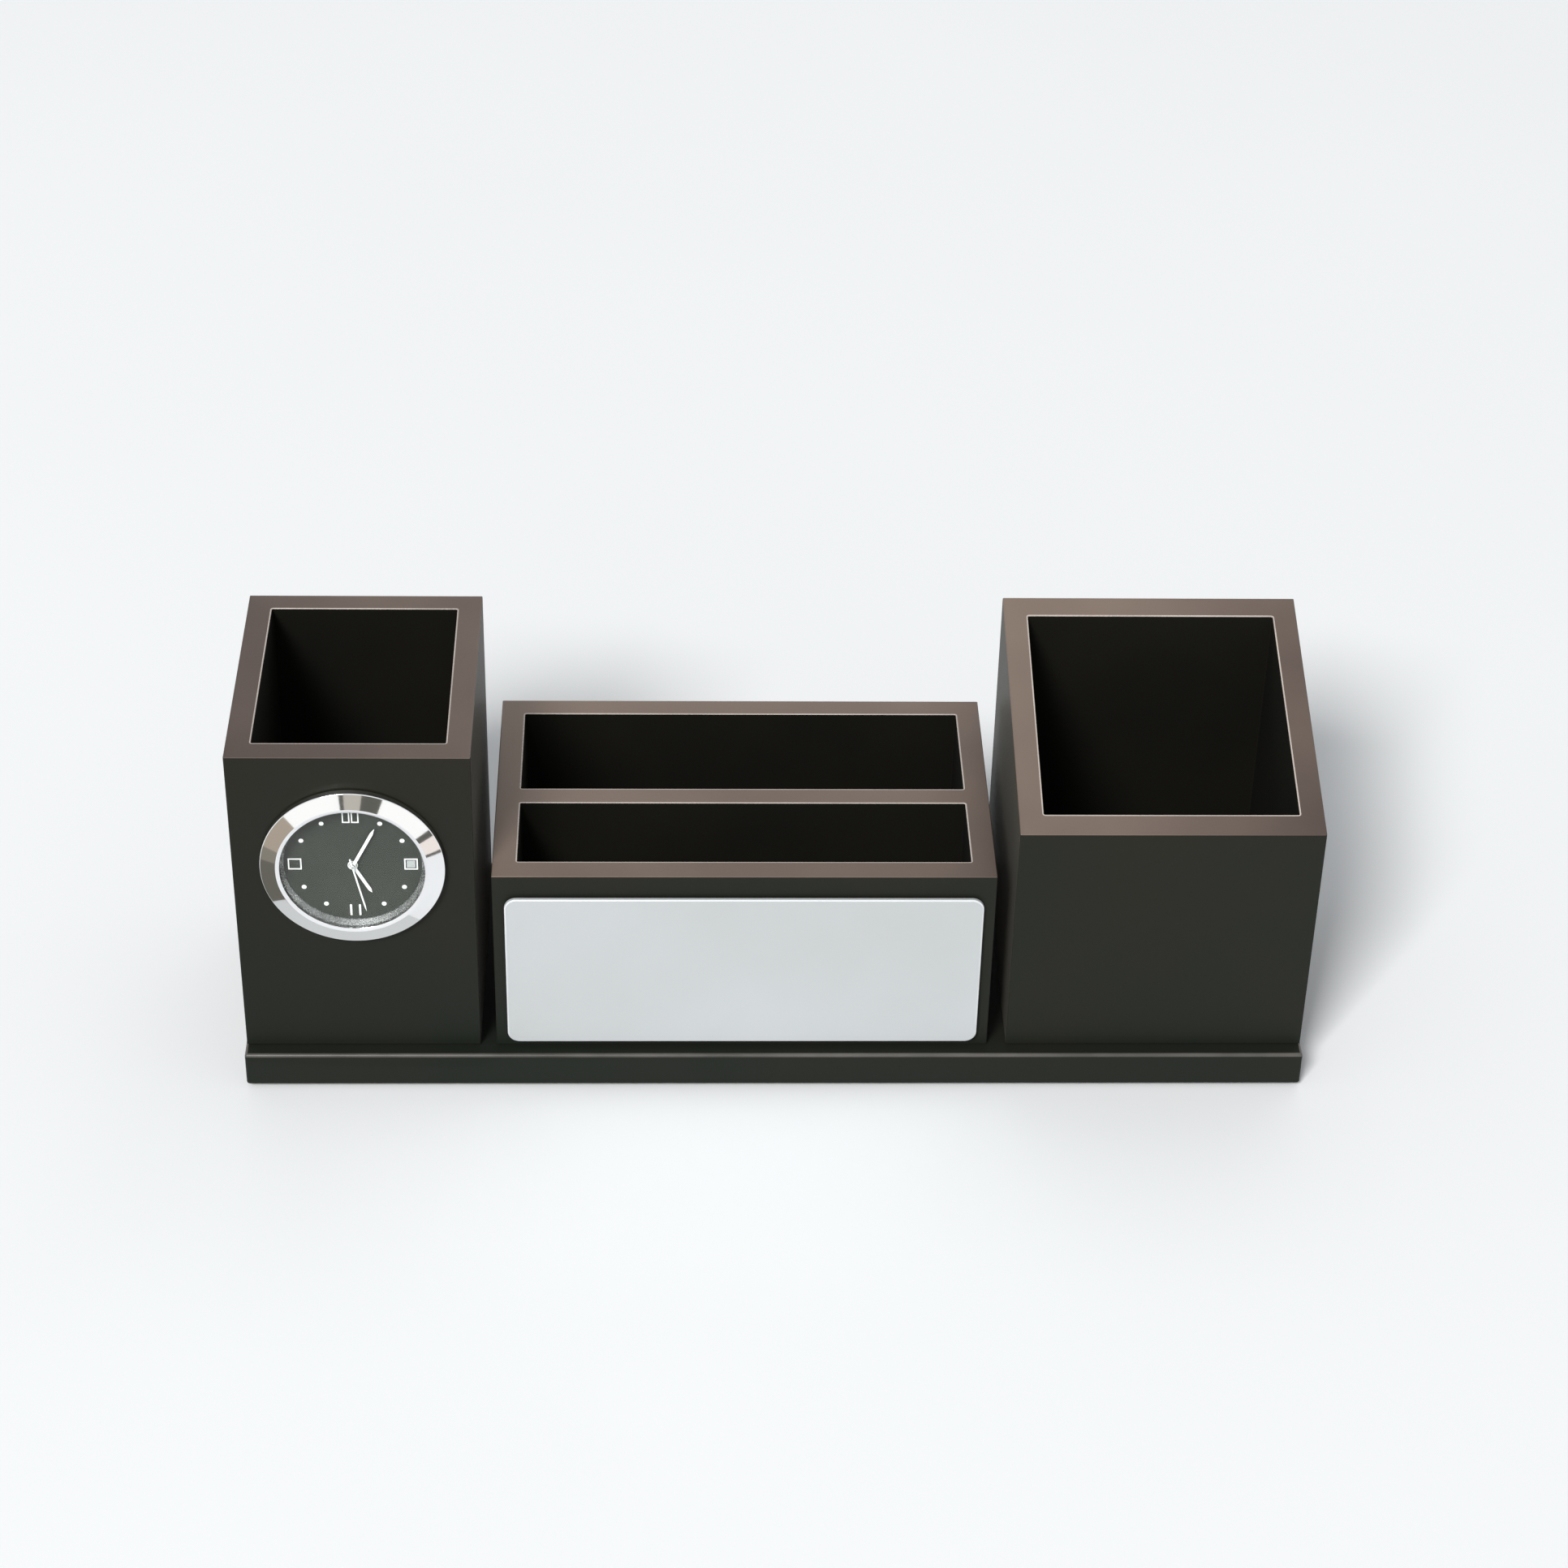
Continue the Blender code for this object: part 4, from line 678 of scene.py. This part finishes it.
def make_edging(box, looks):
    """The edging on top of a box: taupe above with a painted sheen, lacquered on its sides, with
    a painted highlight round its wells.
    """
    # bright takes the painted highlight round the wells
    top, bright, outside, inside = range(4)
    under_rim, thickness = rim_heights(box)
    bm = bmesh.new()
    stacks = []
    for number, loop in enumerate(box_loops(box)):
        radius = WELL_EDGE if number else RIM_EDGE
        profile = [(0, 0), *rounded_end(thickness, radius)]
        if number:
            profile.append((WELL_EDGE + WELL_HIGHLIGHT, thickness))
        wall, edge = (inside, bright) if number else (outside, top)
        indices = [wall] + [edge] * (len(profile) - 2)
        stacks.append(add_walls(bm, loop, profile, indices))
    add_cap(bm, [rows[0] for rows in stacks], outside)
    add_cap(bm, [rows[-1] for rows in stacks], top)
    for vert in bm.verts:
        vert.co.z += under_rim(vert.co.y)
    materials = [looks[name] for name in ("taupe", "taupe_highlight", "lacquer", "lining")]
    finish_piece(
        f"{box}_box_edging", bm, materials, "organiser", [f"{box}_box_rim"]
    )


def cut_clock_hole(shell, looks):
    """The round hole for the clock, black inside."""
    bm = bmesh.new()
    add_plate(bm, [circle(radius_of("grip_ring") + CLEARANCE)], -CLOCK_HOLE_DEPTH, OVERRUN, 0)
    close_mesh(bm)
    apply_cut(shell, add_object("clock_hole", bm, [looks["lining"]], CLOCK))


def apply_cut(piece, cutter):
    """Cuts a piece once and for all, and takes the cutter away."""
    cut = piece.modifiers.new("cut", "BOOLEAN")
    cut.object = cutter
    cut.solver = "EXACT"
    cut.material_mode = "TRANSFER"
    piece.modifiers.move(len(piece.modifiers) - 1, 0)
    with bpy.context.temp_override(object=piece, active_object=piece):
        bpy.ops.object.modifier_apply(modifier="cut")
    piece.data.set_sharp_from_angle(angle=SHARP_ANGLE)
    bpy.data.objects.remove(cutter)


# Base and name plate


def make_base(looks):
    """The base plate with softly rounded edges, a painted highlight along its top edge, and
    countersinks for its screws.
    """
    low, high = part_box("base_plate")
    upper = rounded_end(high.z, BASE_EDGE)
    lower = [(distance, low.z + high.z - level) for distance, level in reversed(upper)]
    # The upper rounding takes the painted highlight
    indices = [0] * len(lower) + [1] * (len(upper) - 1)
    outline = plan_rectangle(low.x, high.x, low.y, high.y, BASE_EDGE)
    bm = bmesh.new()
    rows = add_walls(bm, outline, lower + upper, indices)
    add_cap(bm, [rows[0]])
    add_cap(bm, [rows[-1]])
    materials = [looks["lacquer"], looks["lacquer_highlight"]]
    base = finish_piece(
        "base_plinth", bm, materials, "organiser", ["base_plate"]
    )
    for box in ("left", "middle", "right"):
        for number in (1, 2):
            cut_countersink(base, f"{box}_box_screw_{number}", low.z)


def cut_countersink(base, screw, foot):
    """A screw's hole, from below the foot: its recess, its cone and its shank."""
    low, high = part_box(screw)
    head = radius_of(screw) + CLEARANCE
    shank = head / 2
    recess = low.z - foot
    points = [
        (0, -OVERRUN),
        (head, -OVERRUN),
        (head, recess),
        (shank, recess + SCREW_HEAD_DEPTH),
        (shank, SCREW_HOLE_DEPTH),
        (0, SCREW_HOLE_DEPTH),
    ]
    bm = bmesh.new()
    add_lathe(bm, points, SMALL_ROUND)
    close_mesh(bm)
    place = (low.x + high.x) / 2, (low.y + high.y) / 2, foot
    apply_cut(base, add_object("countersink", bm, matrix=Matrix.Translation(place)))


def make_name_plate(looks):
    """A bare plate with a painted highlight on its edge."""
    low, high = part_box("name_plate")
    middle = (low + high) / 2
    bm = bmesh.new()
    loop = rounded_rectangle(high.x - low.x, high.z - low.z, PLATE_CORNER)
    add_plate(bm, [loop], 0, high.y - low.y, PLATE_BEVEL, 0, 1)
    matrix = Matrix.Translation((middle.x, high.y, middle.z)) @ Matrix.Rotation(pi / 2, 4, "X")
    materials = [looks["plate"], looks["plate_highlight"]]
    finish_piece(
        "bare_plate", bm, materials, "organiser", ["name_plate"], matrix
    )


# Clock


def clock_frame():
    """The clock's own frame, on the left box's front face."""
    low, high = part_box("clock_bezel")
    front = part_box("left_box_front")[0].y
    middle = Vector(((low.x + high.x) / 2, front, (low.z + high.z) / 2))
    return Matrix.Translation(middle) @ Matrix.Rotation(pi / 2, 4, "X")


def levels(node):
    """The back and front levels of a node in the clock's frame."""
    low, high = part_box(node)
    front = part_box("left_box_front")[0].y
    return front - high.y, front - low.y


def radius_of(node):
    low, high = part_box(node)
    return (high.x - low.x) / 2


def make_bezel(looks):
    """The ring that slopes down from a crest round the crystal, with a lip over it."""
    back, front = levels("clock_bezel")
    outer = radius_of("clock_bezel")
    points = [
        (outer, back),
        (outer, back + BEZEL_FLANK),
        (BEZEL_OPENING + BEZEL_CREST, front),
        (BEZEL_OPENING, front - BEZEL_LIP / 2),
        (BEZEL_OPENING, front - BEZEL_LIP),
        (BEZEL_OPENING + BEZEL_STEP, front - BEZEL_LIP),
        (BEZEL_OPENING + BEZEL_STEP, back),
    ]
    bm = bmesh.new()
    add_lathe(bm, rounded_profile(points, BEZEL_RADII))
    finish_piece(
        "clock_bezel_ring", bm, [looks["chrome"]], "clock_insert", ["clock_bezel"], CLOCK
    )


def make_crystal(looks):
    back, front = levels("clock_crystal")
    radius = radius_of("clock_crystal")
    points = [(0, back), (radius, back), (radius, front), (0, front)]
    bm = bmesh.new()
    add_lathe(bm, rounded_profile(points, CRYSTAL_RADII, closed=False), closed=False)
    finish_piece(
        "clock_glass", bm, [looks["crystal"]], "clock_insert", ["clock_crystal"], CLOCK
    )


def make_chapter_ring(looks):
    """The sloping ring between the dial and the crystal."""
    back, front = levels("chapter_ring")
    outer = radius_of("chapter_ring")
    points = [
        (outer, front),
        (outer, back),
        (RING_FOOT, back),
        (RING_FOOT, back + RING_STEP),
        (BEZEL_OPENING, front),
    ]
    bm = bmesh.new()
    add_lathe(bm, points)
    finish_piece(
        "reflector_ring",
        bm,
        [looks["reflector"]],
        "clock_insert",
        ["chapter_ring"],
        CLOCK,
    )


def square_loops(place, width, height):
    """The outline of an hour mark and of its hollow."""
    hollow = rectangle(width - 2 * LINE, height - 2 * LINE, place)
    return [rectangle(width, height, place), hollow[::-1]]


def make_dial(looks):
    """The dial plate, with its printed hour marks standing a hair above it."""
    back, _ = levels("clock_dial")
    face = back + DIAL_THICKNESS
    bm = bmesh.new()
    bore = circle(DIAL_BORE, sides=SMALL_ROUND)[::-1]
    add_plate(bm, [circle(radius_of("clock_dial")), bore], back, face, 0)
    top = face + MARKER_HEIGHT
    for side in (-1, 1):
        aside = side * PAIR_SPREAD
        add_plate(bm, square_loops((aside, MARKER_RING), PAIR_WIDTH, SQUARE), face, top, 0, 1)
        bar = rectangle(BAR_WIDTH, SQUARE, (aside, -MARKER_RING))
        add_plate(bm, [bar], face, top, 0, 1)
        add_plate(bm, square_loops((side * MARKER_RING, 0), SQUARE, SQUARE), face, top, 0, 1)
    filled = rectangle(SQUARE - 4 * LINE, SQUARE - 4 * LINE, (MARKER_RING, 0))
    add_plate(bm, [filled], face, top, 0, 2)
    for hour in range(12):
        if hour % 3:
            angle = radians(30 * hour)
            dot = circle(
                DOT_RADIUS, (MARKER_RING * cos(angle), MARKER_RING * sin(angle)), SMALL_ROUND
            )
            add_plate(bm, [dot], face, top, MARKER_HEIGHT / 2, 1)
    materials = [looks["dial"], looks["white"], looks["grey"]]
    finish_piece("dial_face", bm, materials, "clock_insert", ["clock_dial"], CLOCK)


def hand_loop(length, width, hub, tail=0.0):
    """A pointed baton along +Y from a round hub, with a blunt tail."""
    half = width / 2
    lift = (hub**2 - half**2) ** 0.5
    start, end = atan2(lift, -half), atan2(lift, half) + 2 * pi
    arc = [start + (end - start) * step / SMALL_ROUND for step in range(SMALL_ROUND + 1)]
    points = [(hub * cos(a), hub * sin(a)) for a in arc]
    if tail:
        left = [p for p in points if p[0] < -half or p[1] > 0 and p[0] < 0]
        right = [p for p in points if p[0] > half or p[1] > 0 and p[0] > 0]
        points = left + [(-half, -lift), (-half, -tail), (half, -tail), (half, -lift)] + right
    shoulder = length * SHOULDER_SHARE
    return points + [(half, shoulder), (0, length), (-half, shoulder)]


def make_hand(node, body, loop, bore, turn, looks):
    """A white baton with its bore, turned clockwise by a share of the dial."""
    back, front = levels(node)
    bm = bmesh.new()
    loops = [loop, circle(bore, sides=SMALL_ROUND)[::-1]]
    add_plate(bm, loops, back, front, HAND_BEVEL, steps=2)
    matrix = CLOCK @ Matrix.Rotation(-2 * pi * turn, 4, "Z")
    finish_piece(f"{node}_baton", bm, [looks["white"]], body, [node], matrix)


def make_hands(looks):
    hours, minutes, seconds = TIME
    minutes += seconds / 60
    hours += minutes / 60
    turns = {"hour": hours / 12, "minute": minutes / 60, "second": seconds / 60}
    for name, (length, width, bore, tail) in HANDS.items():
        loop = hand_loop(length, width, bore + HUB_WALL, tail)
        make_hand(f"{name}_hand", f"{name}_train", loop, bore, turns[name], looks)


def make_cup(looks):
    back, front = levels("clock_cup")
    outer = radius_of("clock_cup")
    inner = outer - CUP_WALL
    points = [(outer, front), (outer, back), (inner, back), (inner, front)]
    bm = bmesh.new()
    add_lathe(bm, rounded_profile(points, CUP_RADII))
    finish_piece(
        "clock_case_cup", bm, [looks["steel"]], "clock_insert", ["clock_cup"], CLOCK
    )
    make_grip(looks, outer + GRIP_SEAT)


def make_grip(looks, bore):
    """The rubber ring round the cup, with ribs that hold it in its hole."""
    back, front = levels("grip_ring")
    crest = radius_of("grip_ring")
    root = crest - GRIP_RIB_DEPTH
    pitch = (front - back) / GRIP_RIBS
    points = [(bore, back)]
    for rib in range(GRIP_RIBS):
        start = back + pitch * rib
        points += [(root, start), (crest, start + pitch / 3)]
        points += [(crest, start + pitch * 2 / 3), (root, start + pitch)]
    points.append((bore, front))
    bm = bmesh.new()
    add_lathe(bm, points)
    finish_piece(
        "ribbed_grip", bm, [looks["rubber"]], "clock_insert", ["grip_ring"], CLOCK
    )


# CAD nodes that keep their shape


def dress_nodes(looks):
    """Gives the nodes that stay their finished materials."""
    by_slot = {
        "charcoal_lacquer": "lacquer",
        "black_lining": "lining",
        "taupe_edging": "taupe",
        "black_felt": "felt",
        "adhesive_tape": "tape",
        "brushed_plate": "plate",
        "chrome": "chrome",
        "crystal": "crystal",
        "dial": "dial",
        "white_hands": "white",
        "rubber": "rubber",
        "brass": "brass",
        "steel": "steel",
        "silver": "silver",
        "black_plastic": "plastic",
        "copper": "copper",
        "green_board": "board",
    }
    slots = {part["node"]: part["material_slot"] for part in frame["record"]["subparts"]}
    for name, node in frame["nodes"].items():
        for slot in node.material_slots:
            slot.material = looks[by_slot[slots[name]]]


# Studio


def direct_rays(tree):
    """1 for the rays that show a background to the camera, in metal and through glass."""
    rays = add_node(tree, "ShaderNodeLightPath").outputs
    direct = rays["Is Camera Ray"]
    for kind in ("Is Glossy Ray", "Is Transmission Ray"):
        either = {0: direct, 1: rays[kind]}
        direct = add_node(tree, "ShaderNodeMath", either, operation="MAXIMUM").outputs[0]
    return direct


def fade_far_off(look):
    """Lets the floor pass into the backdrop well away from the object and its shadow."""
    tree = look.node_tree
    place = add_node(tree, "ShaderNodeTexCoord").outputs["Object"]
    away = add_node(tree, "ShaderNodeVectorMath", {0: place}, operation="LENGTH")
    far = spread(tree, away.outputs["Value"], 0, 1, FADE_FROM, FADE_TO)
    both = {0: far, 1: direct_rays(tree)}
    factor = add_node(tree, "ShaderNodeMath", both, operation="MULTIPLY").outputs[0]
    backdrop = add_node(tree, "ShaderNodeEmission", {"Color": BACKDROP})
    mix = add_node(tree, "ShaderNodeMixShader", {"Fac": factor})
    tree.links.new(tree.nodes["Principled BSDF"].outputs["BSDF"], mix.inputs[1])
    tree.links.new(backdrop.outputs["Emission"], mix.inputs[2])
    tree.links.new(mix.outputs["Shader"], tree.nodes["Material Output"].inputs["Surface"])


def make_floor():
    bm = bmesh.new()
    bmesh.ops.create_grid(bm, x_segments=1, y_segments=1, size=FLOOR_REACH)
    look = material("pale_floor", FLOOR, (0.85, 0.95), patches=3, bump=0.0)
    fade_far_off(look)
    add_object("floor", bm, [look])


def make_world():
    """Plain pale surroundings, as bright as the floor to the camera, to metal and to glass."""
    world = bpy.data.worlds.new("studio")
    bpy.context.scene.world = world
    world.use_nodes = True
    tree = world.node_tree
    background = tree.nodes["Background"]
    background.inputs["Color"].default_value = SKY
    background.inputs["Strength"].default_value = SKY_LIGHT
    seen = add_node(tree, "ShaderNodeBackground", {"Color": BACKDROP})
    mix = add_node(tree, "ShaderNodeMixShader", {"Fac": direct_rays(tree)})
    tree.links.new(background.outputs["Background"], mix.inputs[1])
    tree.links.new(seen.outputs["Background"], mix.inputs[2])
    tree.links.new(mix.outputs["Shader"], tree.nodes["World Output"].inputs["Surface"])


def make_lamps():
    for name, (place, size, power) in LAMPS.items():
        data = bpy.data.lights.new(name, "AREA")
        data.shape = "SQUARE"
        data.size = size
        data.energy = power
        lamp = bpy.data.objects.new(name, data)
        lamp.location = place
        aim = LAMP_TARGET - Vector(place)
        lamp.rotation_euler = aim.to_track_quat("-Z", "Y").to_euler()
        bpy.context.scene.collection.objects.link(lamp)


def bezel_reflection(hour):
    """Where the bezel is at an hour of the dial, and which way it sends the camera's rays."""
    radius = radius_of("clock_bezel") - SLOPE_INSET
    angle = pi / 2 - hour * pi / 6
    outward = Vector((cos(angle), 0, sin(angle)))
    place = CLOCK.translation + outward * radius - Vector((0, SLOPE_RISE, 0))
    normal = (outward * sin(BEZEL_TILT) - Vector((0, cos(BEZEL_TILT), 0))).normalized()
    view = (place - CAMERA_PLACE).normalized()
    return place, view - 2 * view.dot(normal) * normal


def card_strip(start, end):
    """A strip that the bezel reflects to the camera from one hour to another, off the floor."""
    steps = max(2, round((end - start) * CARD_STEPS_AN_HOUR))
    bm = bmesh.new()
    rows = []
    for step in range(steps + 1):
        hour = start + (end - start) * step / steps
        place, way = bezel_reflection(hour)
        ahead = bezel_reflection(hour + HOUR_STEP)[1]
        side = way.cross(ahead - way).normalized() * CARD_WIDTH / 2
        fall = max(-way.z, CARD_LEAST_FALL)
        centre = place + way * min(CARD_REACH, CARD_FALL_SHARE * place.z / fall)
        rows.append([bm.verts.new(corner) for corner in (centre - side, centre + side)])
    for low, high in zip(rows, rows[1:]):
        bm.faces.new((low[0], low[1], high[1], high[0]))
    return bm


def make_cards():
    """Glowing studio cards round the clock, which only its bright ring and other glossy faces
    see, as reflections.
    """
    for number, (start, end, tone) in enumerate(CARDS):
        name = f"card_{number}"
        look = material(
            name,
            LINING,
            (0.9, 1.0),
            bump=0.0,
            Emission_Color=(*tone, 1),
            Emission_Strength=1.0,
            Specular_IOR_Level=0.0,
        )
        card = add_object(name, card_strip(start, end), [look])
        card.visible_camera = False
        card.visible_diffuse = False
        card.visible_transmission = False
        card.visible_shadow = False


def make_camera():
    """Stands where the photographer's did, found from the boxes' corners."""
    pitch, yaw, roll = CAMERA_PITCH, CAMERA_YAW, CAMERA_ROLL
    forward = Vector((-sin(yaw) * cos(pitch), cos(yaw) * cos(pitch), -sin(pitch)))
    level = Vector((cos(yaw), sin(yaw), 0))
    rise = level.cross(forward)
    right = cos(roll) * level + sin(roll) * rise
    up = cos(roll) * rise - sin(roll) * level
    data = bpy.data.cameras.new("camera")
    data.lens = CAMERA_LENS
    data.sensor_width = CAMERA_SENSOR
    camera = bpy.data.objects.new("camera", data)
    turn = Matrix((right, up, -forward)).transposed().to_4x4()
    camera.matrix_world = Matrix.Translation(CAMERA_PLACE) @ turn
    bpy.context.scene.collection.objects.link(camera)
    bpy.context.scene.camera = camera


CLOCK = clock_frame()


def main():
    looks = make_materials()
    dress_nodes(looks)
    for box in ("left", "middle", "right"):
        shell = make_shell(box, looks)
        if box == "left":
            cut_clock_hole(shell, looks)
        make_edging(box, looks)
    make_base(looks)
    make_name_plate(looks)
    make_bezel(looks)
    make_crystal(looks)
    make_chapter_ring(looks)
    make_dial(looks)
    make_hands(looks)
    make_cup(looks)
    make_floor()
    make_world()
    make_lamps()
    make_cards()
    make_camera()
    bpy.context.scene.view_settings.view_transform = "Standard"


main()
bpy.context.view_layer.update()
